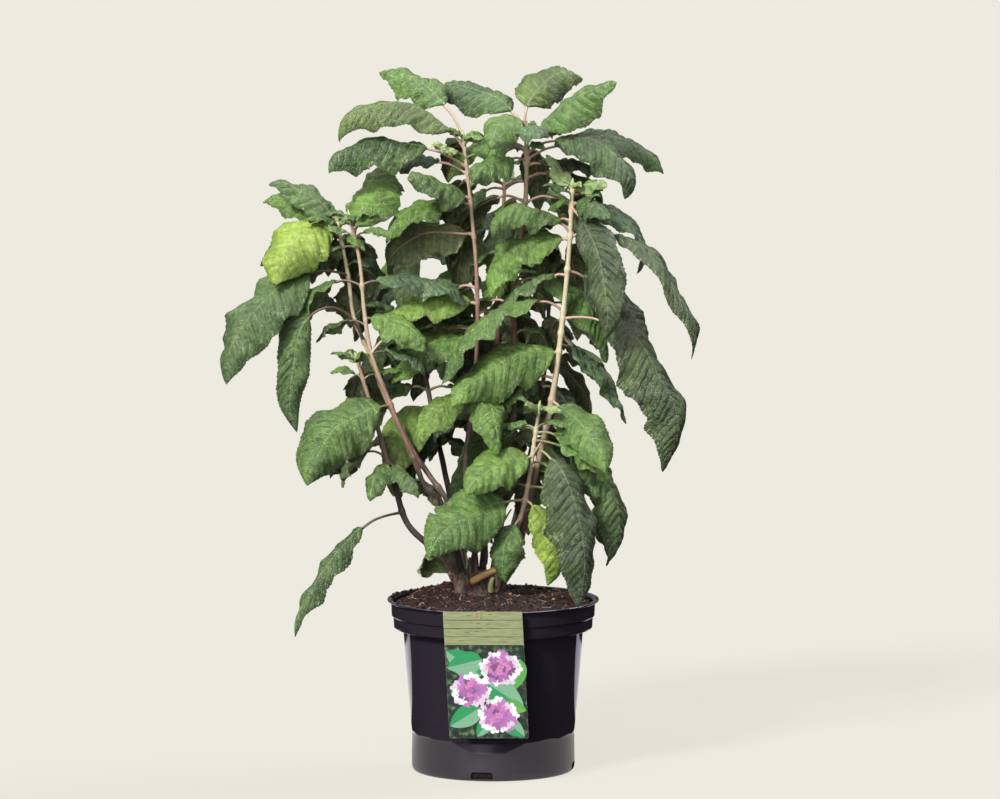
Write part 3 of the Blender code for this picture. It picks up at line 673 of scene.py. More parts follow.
class WoodSettings(bpy.types.PropertyGroup):
    foot: colour("Foot", "Colour of the oldest wood", 48, 32, 29)
    brown: colour("Brown", "Colour of the middle of a cane", 148, 106, 88)
    tan: colour("Tan", "Colour of the upper canes", 206, 180, 148)
    cream: colour("Cream", "Colour of the palest bark", 226, 212, 174)
    sawn: colour("Sawn wood", "Colour of the sawn stub", 226, 176, 110)
    ridge: length("Ridges", "Depth of the bark's ridges", 0.00035, 0.003)
    node_gap: length("Node spacing", "Distance between nodes on a bare cane", 0.052, 0.2)
    swelling: share("Swelling", "How much a cane thickens at a node", 0.2)


class LeafSettings(bpy.types.PropertyGroup):
    # Some tones are painted light and shade: deep is painted shade, dark is partly the blades' own
    # darker green and partly painted shade, bright is painted light, and yellow is the painted glow
    # of blades lit through from behind.
    deep: colour("Deep", "Blades in deep shade", 42, 60, 42)
    dark: colour("Dark", "Old blades", 56, 88, 48)
    mid: colour("Middle", "Full-grown blades", 78, 115, 50)
    fresh: colour("Fresh", "Blades of this year", 97, 136, 53)
    bright: colour("Bright", "Lit young blades", 119, 153, 62)
    blue: colour("Blue", "Bluish blades", 58, 92, 64)
    olive: colour("Olive", "Old blades", 86, 110, 50)
    yellow: colour("Yellow", "Yellow-green blades", 140, 168, 56)
    pale: colour("Pale", "Pale blades", 158, 186, 116)
    young: colour("Young", "Blades that have just opened", 172, 194, 128)
    under: colour("Underside", "Underside of a blade", 132, 142, 106)
    rib: colour("Ribs", "Midrib and lateral veins", 176, 196, 128)
    scorch: colour("Scorch", "Dried tips", 62, 44, 30)
    maroon: colour("Maroon stalks", "Stalks of the left canes", 92, 58, 56)
    rosy: colour("Rosy stalks", "Stalks of the tall canes", 196, 156, 140)
    green: colour("Green stalks", "Stalks of the low canes", 140, 140, 98)
    thickness: length("Thickness", "Thickness of a blade", 0.0007, 0.003)
    vein_gap: length("Vein spacing", "Distance between lateral veins", 0.0125, 0.05)
    quilt: length("Quilting", "How far the blade bulges between veins", 0.0026, 0.005)
    tooth: length("Teeth", "Depth of the margin's teeth", 0.0015, 0.005)
    ruffle: share("Ruffle", "Waves of the margin as a share of the width", 0.1, 0.3)
    arch: share("Arch", "How far the margins hang as a share of the width", 0.17, 0.4)
    roll: length("Rolled margin", "How far the margin itself turns down", 0.0022, 0.006)


class StageSettings(bpy.types.PropertyGroup):
    floor: colour("Floor", "Colour of the floor and backdrop", 241, 238, 227)
    key: strength("Key", "Strength of the main light", 3.5)
    fill: strength("Fill", "Strength of the rear light", 1.4)
    front: strength("Front", "Strength of the low light", 1.1)
    sky: strength("Sky", "Strength of the sky", 0.38)
    box: strength("Box", "Brightness of the overhead box", 8)
    edge: strength("Edge", "Brightness of the strips", 0.6)


class ShrubSettings(bpy.types.PropertyGroup):
    pot: PointerProperty(type=PotSettings)
    soil: PointerProperty(type=SoilSettings)
    card: PointerProperty(type=CardSettings)
    wood: PointerProperty(type=WoodSettings)
    leaf: PointerProperty(type=LeafSettings)
    stage: PointerProperty(type=StageSettings)


# Finishes

class Term:
    """A number socket of a finish. An expression on terms adds its Math nodes."""

    def __init__(self, finish, socket):
        self.finish, self.socket = finish, socket

    def __add__(self, other):
        return self.finish.maths("ADD", self, other)

    def __sub__(self, other):
        return self.finish.maths("SUBTRACT", self, other)

    def __rsub__(self, other):
        return self.finish.maths("SUBTRACT", other, self)

    def __mul__(self, other):
        return self.finish.maths("MULTIPLY", self, other)

    def __truediv__(self, other):
        return self.finish.maths("DIVIDE", self, other)

    __radd__, __rmul__ = __add__, __mul__

    def held(self):
        """The same, held between 0 and 1."""
        return self.finish.maths("ADD", self, 0, held=True)


class Nodes:
    """A node tree under construction."""

    def __init__(self, tree):
        self.tree = tree
        tree.nodes.clear()

    def node(self, kind, settings=None, values=None):
        """A node of this kind: its settings first, then the values or links of its sockets."""
        node = self.tree.nodes.new(kind)
        for key, value in (settings or {}).items():
            if key == "stops":
                ramp = node.color_ramp.elements
                while len(ramp) < len(value):
                    ramp.new(0.5)
                for stop, (position, shade) in zip(ramp, value):
                    stop.position, stop.color = position, (*shade, 1)
            else:
                setattr(node, key, value)
        for key, value in (values or {}).items():
            self.feed(node.inputs[key], value)
        return node

    def feed(self, socket, value):
        if isinstance(value, Term):
            value = value.socket
        if isinstance(value, bpy.types.NodeSocket):
            self.tree.links.new(value, socket)
        elif socket.type == "RGBA":
            socket.default_value = (*value, 1)
        else:
            socket.default_value = value


class Finish(Nodes):
    """A material under construction, with the coordinates of its piece."""

    def __init__(self, name):
        self.material = bpy.data.materials.new(name)
        self.material.use_nodes = True
        super().__init__(self.material.node_tree)
        self.place = self.node("ShaderNodeTexCoord").outputs["Object"]

    def maths(self, operation, *values, held=False):
        settings = {"operation": operation, "use_clamp": held}
        node = self.node("ShaderNodeMath", settings, dict(enumerate(values)))
        return Term(self, node.outputs[0])

    def height(self):
        split = self.node("ShaderNodeSeparateXYZ", values={0: self.place})
        return Term(self, split.outputs["Z"])

    def stretched(self, x, y, z):
        """The piece's coordinates, scaled along each axis."""
        scaled = self.node(
            "ShaderNodeVectorMath", {"operation": "MULTIPLY"}, {0: self.place, 1: (x, y, z)})
        return scaled.outputs[0]

    def cloud(self, scale, detail=2, place=None):
        values = {"Vector": place or self.place, "Scale": scale, "Detail": detail}
        return Term(self, self.node("ShaderNodeTexNoise", values=values).outputs[0])

    def net(self, scale, width):
        """Lines between cells, 1 on a line and 0 inside a cell."""
        cells = self.node(
            "ShaderNodeTexVoronoi", {"feature": "DISTANCE_TO_EDGE"},
            {"Vector": self.place, "Scale": scale})
        return 1 - (Term(self, cells.outputs["Distance"]) / width).held()

    def blend(self, factor, low, high):
        mixed = self.node(
            "ShaderNodeMix", {"data_type": "RGBA", "clamp_factor": True},
            {0: factor, 6: low, 7: high})
        return mixed.outputs[2]

    def graded(self, place, stops):
        return self.node("ShaderNodeValToRGB", {"stops": stops}, {0: place}).outputs[0]

    def surface(self, shade, roughness, relief=None, depth=0.0005, gloss=0.5, tint=(1, 1, 1)):
        """Ends the finish in a Principled surface, with relief as its bump."""
        values = {
            "Base Color": shade, "Roughness": roughness, "Specular IOR Level": gloss,
            "Specular Tint": tint}
        if relief is not None:
            bump = self.node(
                "ShaderNodeBump", values={"Strength": 1, "Distance": depth, "Height": relief})
            values["Normal"] = bump.outputs[0]
        shader = self.node("ShaderNodeBsdfPrincipled", values=values)
        self.node("ShaderNodeOutputMaterial", values={"Surface": shader.outputs[0]})
        return self.material


def shaded(tone, by):
    """A colour made lighter or darker."""
    return tuple(min(1.0, part * by) for part in tone)


def towards(tone, other, by):
    """A colour moved towards another by a share."""
    return tuple(a + (b - a) * by for a, b in zip(tone, other))


def plastic_finish(settings):
    finish = Finish("pot_plastic")
    tide = ((finish.height() - 0.185) * 9 + (finish.cloud(60, 5) - 0.66) * 4).held()
    specks = ((finish.cloud(260, 1) - 0.72) * 14).held()
    # Painted shade: below 52 mm the plastic's colour is darkened nearly to black, to dim the band
    # where the foot mirrors the pale floor; it is rougher there as well.
    foot = ((0.052 - finish.height()) * 400).held()
    dusty = (tide * 0.1 + specks * 0.25).held()
    shade = finish.blend(dusty, settings.plastic, settings.dust)
    shade = finish.blend(foot * 0.9, shade, (0.004, 0.004, 0.006))
    rough = settings.roughness + finish.cloud(9, 3) * 0.06 + dusty * 0.5 + foot * 0.24
    relief = finish.cloud(26, 2) + finish.cloud(800, 1) * 0.02
    return finish.surface(shade, rough, relief, 0.0003, 0.9, (0.9, 0.86, 1))


def earth_finish(name, tone, depth=0.001):
    finish = Finish(name)
    lumps = finish.cloud(160, 6)
    damp = finish.cloud(22, 3)
    shade = finish.blend(
        (lumps * 0.8 + damp * 0.6 - 0.2).held(), shaded(tone, 0.45), shaded(tone, 1.5))
    return finish.surface(shade, 0.95 - damp * 0.25, lumps, depth, 0.2)


def print_finish(name, tone, grain=0.12):
    """Printed card: a clean colour with the grain of its ink, under a light gloss."""
    finish = Finish(name)
    ink = finish.cloud(260, 2)
    shade = finish.blend(ink, shaded(tone, 1 - grain), shaded(tone, 1 + grain))
    return finish.surface(shade, 0.34 + ink * 0.12, finish.cloud(700, 1), 0.00004)


def plank_finish(tone):
    finish = Finish("card_planks")
    grain = finish.cloud(60, 4, finish.stretched(1, 1, 12))
    shade = finish.blend((grain * 1.6 - 0.3).held(), shaded(tone, 0.6), shaded(tone, 1.25))
    return finish.surface(shade, 0.4, grain, 0.00006)


def ground_finish(tone):
    finish = Finish("card_ground")
    blotch = finish.cloud(120, 4)
    shade = finish.graded(
        blotch, ((0.35, shaded(tone, 0.4)), (0.52, tone), (0.68, (0.12, 0.22, 0.09))))
    return finish.surface(shade, 0.4)


def bark_finish(name, stops, flakes=0.5):
    """Bark whose colour runs with the height, streaked along the cane."""
    finish = Finish(name)
    streak = finish.cloud(240, 4, finish.stretched(1, 1, 0.16))
    blotch = finish.cloud(46, 4)
    place = finish.height() + (blotch - 0.5) * 0.09 + (streak - 0.5) * 0.05
    shade = finish.graded(place, stops)
    worn = (streak * 1.5 + blotch * 0.7 - 0.85).held() * flakes
    shade = finish.blend(worn, shade, (0.33, 0.25, 0.17))
    pits = finish.net(420, 0.3) * 0.25
    shade = finish.blend(pits, shade, (0.03, 0.018, 0.014))
    return finish.surface(shade, 0.82 - streak * 0.22, streak * 0.9 - pits, 0.0007)


def stalk_finish(name, tone):
    finish = Finish(name)
    streak = finish.cloud(300, 3, finish.stretched(1, 1, 0.4))
    flush = finish.cloud(34, 3)
    shade = finish.blend((flush * 1.5 - 0.25).held(), shaded(tone, 0.72), shaded(tone, 1.2))
    shade = finish.blend(streak * 0.3, shade, (0.24, 0.26, 0.10))
    return finish.surface(shade, 0.5 + streak * 0.15, streak, 0.0003)


def blade_finish(name, tone, vein, contrast=1.0):
    """A leaf's skin: broad patches from blue-green to yellow-green, fine mottling, and the net of
    the smallest veins, under a faint bloom. The patches are partly the leaf's own mottling and
    partly
    painted light: their bright yellow-green end stands in for sheen and for light through the
    blade."""
    finish = Finish(name)
    patch = finish.cloud(19, 2) + finish.cloud(5.5, 1) * 0.8
    mottle = finish.cloud(170, 4)
    mesh = finish.net(330, 0.16)
    # Painted light, in part: the patches leave most of a blade darker, with bright yellow-green
    # spots that stand in for sheen and for light through the blade.
    tone_at = (patch * 1.5 + mottle * 1.9 - 1.95).held()
    low = towards(shaded(tone, 1 - 0.46 * contrast), (0.035, 0.07, 0.05), 0.12)
    high = towards(shaded(tone, 1 + 0.68 * contrast), (0.33, 0.42, 0.08), 0.2)
    shade = finish.blend(tone_at, low, high)
    shade = finish.blend(mesh * 0.12 * contrast, shade, vein)
    rough = 0.34 + mottle * 0.22
    return finish.surface(shade, rough, mottle - mesh * 0.35, 0.002, 0.32)


# Meshes

def joined(*corners):
    """Faces, or points, from an array for each of their corners or coordinates."""
    return np.stack(corners, axis=-1)


def ring_quads(rings, sides):
    """The faces between rings of equal count whose points follow one another."""
    ring, corner = np.meshgrid(np.arange(rings - 1), np.arange(sides), indexing="ij")
    a, b = ring * sides + corner, ring * sides + (corner + 1) % sides
    return joined(a, b, b + sides, a + sides).reshape(-1, 4)


def fan(first, sides, hub, flip=False):
    """The faces that close a ring, which starts at first, over the point in its middle."""
    corner = np.arange(sides)
    after = (corner + 1) % sides
    a, b = (after, corner) if flip else (corner, after)
    return joined(first + a, first + b, np.full(sides, hub))


class Skin:
    """Points and faces of a piece as they are laid down, in mm, with a finish for each face."""

    def __init__(self):
        self.points, self.faces, self.slots, self.total = [], [], [], 0

    def lay(self, points, faces, slot):
        """Adds points, and faces of equal count that index them. Slot is one, or one a face."""
        points, faces = np.asarray(points, float).reshape(-1, 3), np.asarray(faces)
        self.points.append(points)
        self.faces.append(faces + self.total)
        self.slots.append(np.broadcast_to(slot, len(faces)))
        self.total += len(points)

    def also(self, faces, slot, total):
        """Adds faces over points that are already there, which begin at total."""
        self.faces.append(np.asarray(faces) + total)
        self.slots.append(np.broadcast_to(slot, len(faces)))

    def tube(self, points, radii, sides, slot, across=None):
        """A closed tube along points. Radii hold a number for each ring or for each corner."""
        points = np.asarray(points, float)
        along = np.gradient(points, axis=0)
        along /= np.linalg.norm(along, axis=1)[:, None]
        if across is None:
            mean = np.abs(along.mean(axis=0))
            across = np.cross(along, np.eye(3)[int(np.argmin(mean))])
        across = across - along * (across * along).sum(axis=1)[:, None]
        across = across / np.linalg.norm(across, axis=1)[:, None]
        other = np.cross(along, across)
        turn = np.linspace(0, 2 * math.pi, sides, endpoint=False)
        radii = np.asarray(radii, float)
        radii = np.broadcast_to(radii[:, None] if radii.ndim == 1 else radii, (len(points), sides))
        rings = points[:, None] + (
            across[:, None] * np.cos(turn)[None, :, None]
            + other[:, None] * np.sin(turn)[None, :, None]) * radii[..., None]
        start, last = self.total, (len(points) - 1) * sides
        self.lay(rings, ring_quads(len(points), sides), slot)
        for first, centre, flip in ((0, points[0], True), (last, points[-1], False)):
            self.points.append(np.asarray([centre]))
            self.also(fan(first, sides, self.total - start, flip), slot, start)
            self.total += 1

    def build(self, name, finishes, sharp=45):
        """The piece as an object in metres, smooth but for its sharp edges."""
        points = np.concatenate(self.points) * MM
        sizes = np.concatenate([np.full(len(f), f.shape[1]) for f in self.faces])
        corners = np.concatenate([f.ravel() for f in self.faces])
        mesh = bpy.data.meshes.new(name)
        mesh.vertices.add(len(points))
        mesh.vertices.foreach_set("co", points.astype(np.float32).ravel())
        mesh.loops.add(len(corners))
        mesh.loops.foreach_set("vertex_index", corners.astype(np.int32))
        mesh.polygons.add(len(sizes))
        mesh.polygons.foreach_set(
            "loop_start", np.concatenate([[0], np.cumsum(sizes)[:-1]]).astype(np.int32))
        for finish in finishes:
            mesh.materials.append(finish)
        mesh.polygons.foreach_set("material_index", np.concatenate(self.slots).astype(np.int32))
        mesh.update(calc_edges=True)
        mesh.shade_smooth()
        mesh.set_sharp_from_angle(angle=math.radians(sharp))
        obj = bpy.data.objects.new(name, mesh)
        bpy.context.scene.collection.objects.link(obj)
        return obj


def place(obj, slot, *nodes):
    """Puts a finished piece on the plant, in the place of the CAD nodes that it stands for."""
    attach(obj, "root")
    if nodes:
        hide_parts(*nodes)
    return obj


def applied(obj):
    """The object with its modifiers made part of its mesh."""
    graph = bpy.context.evaluated_depsgraph_get()
    mesh = bpy.data.meshes.new_from_object(obj.evaluated_get(graph))
    obj.modifiers.clear()
    obj.data = mesh
    return obj


def outward(obj):
    """Turns the faces of a closed mesh outward."""
    bm = bmesh.new()
    bm.from_mesh(obj.data)
    bmesh.ops.recalc_face_normals(bm, faces=bm.faces)
    bm.to_mesh(obj.data)
    bm.free()


def rounded(profile, radius, cuts=3):
    """A profile with each corner turned into a short arc; its two ends stay."""
    profile = [np.array(point, float) for point in profile]
    smooth = [profile[0]]
    for before, corner, after in zip(profile, profile[1:], profile[2:]):
        back, ahead = before - corner, after - corner
        reach = min(radius, np.linalg.norm(back) * 0.45, np.linalg.norm(ahead) * 0.45)
        start = corner + back / np.linalg.norm(back) * reach
        end = corner + ahead / np.linalg.norm(ahead) * reach
        arc = [start * (1 - t) ** 2 + corner * 2 * t * (1 - t) + end * t**2
               for t in np.linspace(0, 1, cuts + 1)]
        # A ring close to each end of the arc keeps the shading of the walls beside it flat.
        rings = []
        for point, way in ((start, back), (end, ahead)):
            span = np.linalg.norm(way)
            rings.append(point + way / span * min(0.9, (span / 2 - reach) * 0.9))
        smooth += [rings[0], *arc, rings[1]]
    return smooth + [profile[-1]]


def turned_skin(profile, steps, lift=None):
    """A closed shape turned about Z from a profile that begins and ends on the axis."""
    skin, inner = Skin(), np.array(profile[1:-1])
    turn = np.linspace(0, 2 * math.pi, steps, endpoint=False)
    rings = joined(
        inner[:, 0, None] * np.cos(turn), inner[:, 0, None] * np.sin(turn),
        np.broadcast_to(inner[:, 1, None], (len(inner), steps)))
    poles = np.array([[0, 0, profile[0][1]], [0, 0, profile[-1][1]]])
    points = np.concatenate([rings.reshape(-1, 3), poles])
    if lift:
        points = np.array([lift(point) for point in points])
    last, low = (len(inner) - 1) * steps, len(inner) * steps
    skin.lay(points, ring_quads(len(inner), steps), 0)
    skin.also(fan(0, steps, low, flip=True), 0, 0)
    skin.also(fan(last, steps, low + 1), 0, 0)
    return skin


# Pot

def drain_blocks(steps=8):
    """Cutters for the windows round the pot's foot, each narrower at its rounded top."""
    half, arch = [DRAIN_WIDE / 2], [DRAIN_LOW]
    for step in range(steps + 1):
        turn = math.pi / 2 * step / steps
        half.append(DRAIN_SHORT / 2 + (DRAIN_WIDE - DRAIN_SHORT) / 2 * math.cos(turn))
        arch.append(DRAIN_HIGH - DRAIN_ARCH + DRAIN_ARCH * math.sin(turn))
    rim = [(-w, z) for w, z in zip(half, arch)] + [(w, z) for w, z in zip(half, arch)][::-1]
    skin, total = Skin(), len(rim)
    corner = np.arange(total)
    for index in range(DRAIN_COUNT):
        angle = math.radians(DRAIN_FIRST + 360 * index / DRAIN_COUNT)
        out = np.array([math.cos(angle), math.sin(angle), 0])
        side = np.array([-out[1], out[0], 0])
        points = [out * r + side * w + np.array([0, 0, z]) for r in DRAIN_CUT for w, z in rim]
        start = skin.total
        skin.lay(points, ring_quads(2, total), 0)
        for low in (0, total):
            hub = np.full(total - 2, low)
            skin.also(joined(hub, low + corner[1:-1], low + corner[2:]), 0, start)
    return skin


def build_pot(settings):
    finish = plastic_finish(settings)
    profile = rounded(POT_PROFILE, settings.corner / MM)
    pot = turned_skin(profile, settings.steps).build("pot_moulded", [finish], 30)
    blocks = drain_blocks().build("drain_blocks", [finish])
    for obj in (pot, blocks):
        outward(obj)
    cut = pot.modifiers.new("Drains", "BOOLEAN")
    cut.operation, cut.object, cut.solver = "DIFFERENCE", blocks, "EXACT"
    applied(pot)
    pot.data.set_sharp_from_angle(angle=math.radians(30))
    bpy.data.objects.remove(blocks)
    place(pot, "pot_plastic", "pot")


# Soil

def soil_rise(x, y, radius, heave):
    """How far the soil's surface stands above its profile at a place in mm. It lies level at
    its edge."""
    spot = Vector((x, y, 0))
    lift = noise.noise(spot / 34) * 1.0 + noise.noise(spot / 13 + Vector((7, 3, 1))) * 0.7
    lift += noise.noise(spot / 4.5) * 0.45
    bank = math.exp(-((x + 72) ** 2 + (y - 78) ** 2) / 1900) * 1.7
    fade = max(0.0, min(1.0, (SOIL_EDGE - radius) / SOIL_FADE))
    return (lift + bank) * heave * fade


def soil_level(radius):
    """Height of the soil's profile."""
    radii, heights = zip(*SOIL_PROFILE[:5:-1])
    return float(np.interp(radius, radii, heights))


def soil_body(settings):
    heave = settings.heave / MM
    top = [(r, soil_level(r)) for r in np.linspace(SOIL_EDGE - 1, 0, 48)]

    def lift(point):
        radius = math.hypot(point[0], point[1])
        if point[2] < soil_level(radius) - 1:
            return point
        return point + np.array([0, 0, soil_rise(point[0], point[1], radius, heave)])

    return turned_skin([*SOIL_PROFILE[:7], *top], 176, lift)


def scattered(dice, reach=129.0):
    """A place on the soil, across and back, and its radius."""
    radius = math.sqrt(dice.uniform(0, 1)) * reach
    angle = dice.uniform(0, 2 * math.pi)
    return radius * math.cos(angle), radius * math.sin(angle), radius


def lump(centre, size, dice):
    """A crumb: a few jittered corners and the faces between them."""
    corners = np.array(
        [(1, 0, 0), (0, 1, 0), (-1, 0, 0), (0, -1, 0), (0, 0, 1), (0, 0, -1)], float)
    corners *= np.array([[dice.uniform(0.55, 1.15)] for _ in range(6)])
    turn, tip = dice.uniform(0, math.pi), dice.uniform(-0.7, 0.7)
    corners = corners * np.array(size)
    c, s = math.cos(tip), math.sin(tip)
    corners = corners @ np.array([[c, 0, s], [0, 1, 0], [-s, 0, c]])
    c, s = math.cos(turn), math.sin(turn)
    corners = corners @ np.array([[c, s, 0], [-s, c, 0], [0, 0, 1]])
    faces = [(0, 1, 4), (1, 2, 4), (2, 3, 4), (3, 0, 4), (1, 0, 5), (2, 1, 5), (3, 2, 5), (0, 3, 5)]
    return corners + np.array(centre), faces


def soil_crumbs(settings):
    """Crumbs, flat bark chips and curled fibres that lie on the soil, and a few on the rim."""
    dice, skin = random.Random(SEED + 1), Skin()
    heave = settings.heave / MM

    def level(x, y, radius):
        return soil_level(radius) + soil_rise(x, y, radius, heave)

    for _ in range(settings.crumbs):
        x, y, radius = scattered(dice)
        size = dice.uniform(0.5, 1.7) * (2.1 if dice.random() < 0.1 else 1)
        z = level(x, y, radius) + size * 0.3
        shape = (size * dice.uniform(0.8, 1.4), size, size * dice.uniform(0.6, 1))
        skin.lay(*lump((x, y, z), shape, dice), dice.choices((0, 1, 2, 3), (58, 26, 10, 6))[0])
    for _ in range(settings.chips):
        x, y, radius = scattered(dice, 125)
        z = level(x, y, radius) + dice.uniform(0.3, 1.4)
        shape = (dice.uniform(2.2, 6.5), dice.uniform(1.0, 2.4), dice.uniform(0.4, 1.0))
        skin.lay(*lump((x, y, z), shape, dice), dice.choices((0, 1, 2), (30, 28, 42))[0])
    for _ in range(settings.fibres):
        x, y, radius = scattered(dice, 124)
        turn, bend, reach = dice.uniform(0, 6.3), dice.uniform(-1.2, 1.2), dice.uniform(5, 16)
        path = []
        for step in range(5):
            way = turn + bend * step / 4
            rise = math.sin(math.pi * step / 4) * dice.uniform(0.6, 2.6)
            px, py = x + math.cos(way) * reach * step / 4, y + math.sin(way) * reach * step / 4
            radius = math.hypot(px, py)
            if radius > 128:
                break
            path.append((px, py, level(px, py, radius) + 0.5 + rise))
        if len(path) > 2:
            skin.tube(path, np.full(len(path), dice.uniform(0.16, 0.4)), 4,
                      dice.choices((1, 2, 3, 4), (30, 34, 26, 10))[0])
    for index in range(RIM_CRUMBS):
        together = index < RIM_CLUSTER
        angle = math.radians(dice.uniform(112, 178) if together else dice.uniform(0, 360))
        radius, size = dice.uniform(131, 138), dice.uniform(0.8, 2.6)
        centre = (radius * math.cos(angle), radius * math.sin(angle), 228 + size * 0.4)
        skin.lay(*lump(centre, (size * 1.3, size, size * 0.8), dice), dice.choice((0, 1)))
    return skin


def build_soil(settings):
    earth, chip, straw = settings.earth, settings.bark_chip, settings.straw
    body = soil_body(settings).build("soil_bed", [earth_finish("soil_earth", earth, 0.0016)])
    outward(body)
    place(body, "compost", "soil")
    tones = (earth, towards(earth, chip, 0.45), chip, straw, towards(straw, WHITE, 0.25))
    finishes = [earth_finish(f"soil_crumb_{i}", tone, 0.0004) for i, tone in enumerate(tones)]
    crumbs = soil_crumbs(settings).build("soil_crumbs", finishes, 20)
    outward(crumbs)
    place(crumbs, "compost")


# Card

def on_card(points, lift):
    """Places points given in mm across and down from the middle of the card's top edge. The card
    hangs askew: its sides lean, and its top and foot stay level."""
    x, down = np.asarray(points, float).T
    lean = math.tan(math.radians(-CARD_TILT))
    return joined(
        CARD_X + x + down * lean, np.full(len(x), CARD_Y - CARD_THICK / 2 - lift),
        CARD_TOP - down)


def sheet_piece(skin, rim, front, back, slot):
    """A thin flat piece on the card between two lifts, from its outline run round once."""
    rim = np.asarray(rim, float)
    middle, start, total = [rim.mean(axis=0)], skin.total, len(rim)
    points = np.concatenate([
        on_card(rim, front), on_card(rim, back), on_card(middle, front), on_card(middle, back)])
    skin.lay(points, ring_quads(2, total), slot)
    skin.also(fan(0, total, 2 * total, flip=True), slot, start)
    skin.also(fan(total, total, 2 * total + 1), slot, start)


def round_corners(left, right, top, low, radius, cuts=5):
    rim = []
    for cx, cy, first in ((right - radius, top + radius, -90), (right - radius, low - radius, 0),
                          (left + radius, low - radius, 90), (left + radius, top + radius, 180)):
        for step in range(cuts + 1):
            turn = math.radians(first + 90 * step / cuts)
            rim.append((cx + radius * math.cos(turn), cy + radius * math.sin(turn)))
    return rim


def oval(centre, long, wide, turn, pinch=1.0, points=12):
    """An oval outline that narrows towards one end, from its middle, half sizes and turn."""
    rim = []
    for step in range(points):
        a = 2 * math.pi * step / points
        x, y = long * math.cos(a), wide * math.sin(a) * (1 + (1 - pinch) * math.cos(a))
        rim.append((centre[0] + x * math.cos(turn) - y * math.sin(turn),
                    centre[1] + x * math.sin(turn) + y * math.cos(turn)))
    return rim


def flower_head(skin, centre, radius, lift, dice):
    """A domed flower head: tight lilac florets over a dark ground, and broad pale ones round it."""
    sheet_piece(skin, oval(centre, radius * 0.8, radius * 0.7, 0, points=24), lift + 0.02, lift, 4)
    for index in range(FLORETS):
        share_out = math.sqrt((FLORETS - 1 - index) / FLORETS)
        turn, way = index * 2.4, radius * 0.92 * share_out
        spot = (centre[0] + way * math.cos(turn), centre[1] + way * math.sin(turn) * 0.88)
        outer = share_out > 0.74
        size = radius * dice.uniform(0.17, 0.22) * (1 if outer else 0.72)
        slot = dice.choices((8, 9, 6) if outer else (4, 5, 6, 7),
                            (30, 54, 16) if outer else (18, 30, 32, 20))[0]
        first = dice.uniform(0, 1.5)
        for petal in range(4):
            a = first + math.pi / 2 * petal
            middle = (spot[0] + math.cos(a) * size * 0.66, spot[1] + math.sin(a) * size * 0.66)
            sheet_piece(skin, oval(middle, size * 0.72, size * 0.6, a, 0.8, 9),
                        lift + 0.1 + index * 0.003 + petal * 0.0006, lift, slot)
        sheet_piece(skin, oval(spot, size * 0.16, size * 0.16, 0, points=6),
                    lift + 0.13 + index * 0.003, lift, 5 if outer else 10)


def printed_leaf(skin, base, turn, long, lift, slot):
    """A leaf printed as two halves along its midrib, one lighter."""
    for side, half in ((1, slot), (-1, slot + 1)):
        rim = []
        for step in range(13):
            s = step / 12
            wide = side * long * 0.3 * outline(s) if 0 < s < 1 else 0
            rim.append((base[0] + s * long * math.cos(turn) - wide * math.sin(turn),
                        base[1] + s * long * math.sin(turn) + wide * math.cos(turn)))
        sheet_piece(skin, rim if side > 0 else rim[::-1], lift, lift - 0.03, half)


def card_board(settings):
    """The plain board, with the strap that goes from its top over the rim."""
    half, skin = CARD_WIDE / 2, Skin()
    rim = round_corners(-half, half, 0, CARD_TALL, settings.corner / MM)
    sheet_piece(skin, rim, 0, -CARD_THICK, 0)
    reach, high = STRAP_Y - CARD_Y + CARD_THICK, CARD_TOP + 0.2
    path = [(CARD_X, CARD_Y - 0.1, high - 3), (CARD_X, CARD_Y + 0.1, high - 0.9)]
    path += [(CARD_X, CARD_Y + reach * s, high - 0.2) for s in (0.12, 0.3, 0.5, 0.7, 0.85)]
    path += [(CARD_X, STRAP_Y, z) for z in (high - 0.9, high - 3, STRAP_FOOT)]
    flat = 2 * math.pi * np.arange(16) / 16
    band = 1 / np.sqrt((np.cos(flat) / (STRAP_WIDE / 2)) ** 2 + (np.sin(flat) / 0.34) ** 2)
    side = np.array([[1.0, 0, 0]] * len(path))
    skin.tube(path, np.tile(band, (len(path), 1)), 16, 1, across=side)
    finishes = [
        print_finish("card_board", settings.board, 0.05), plank_finish(shaded(settings.plank, 0.5))]
    return skin.build("card_board", finishes, 40)


def lay_planks(skin, edge, foot, dice):
    """The planked header: planks with wavering upper edges, and knots in them."""
    for index in range(PLANKS):
        upper, lower = foot * index / PLANKS + 0.06, foot * (index + 1) / PLANKS - 0.6
        wobble = [dice.uniform(-0.35, 0.35) for _ in range(12)]
        across = np.linspace(-edge, edge, 12)
        rim = [(x, upper + (w if 0 < k < 11 and index else 0))
               for k, (x, w) in enumerate(zip(across, wobble))]
        rim += [(x, lower) for x in across[::-1]]
        sheet_piece(skin, rim, 0.06, 0.02, 0)
        for _ in range(2):
            spot = (dice.uniform(-edge + 8, edge - 8), (upper + lower) / 2 + dice.uniform(-2, 2))
            sheet_piece(skin, oval(spot, dice.uniform(2, 5), 0.7, 0), 0.08, 0.05, 11)


def lay_leaves(skin, edge, top):
    """Leaves printed behind the flowers, none of them past the picture's edge."""
    for index, (x, y, turn, long) in enumerate(CARD_LEAVES):
        x, y = max(-edge + 2, min(edge - 2, x)), min(CARD_TALL - 3, y)
        reach = max(12.0, min(long, (edge - 1 - x * math.copysign(1, math.cos(turn)))
                              / max(0.2, abs(math.cos(turn)))))
        down = (CARD_TALL - 2 - y) if math.sin(turn) > 0 else (y - top - 2)
        reach = min(reach, max(12.0, down / max(0.2, abs(math.sin(turn)))))
        printed_leaf(skin, (x, y), turn, reach, 0.07 + index * 0.012, 2 if x < 20 else 12)


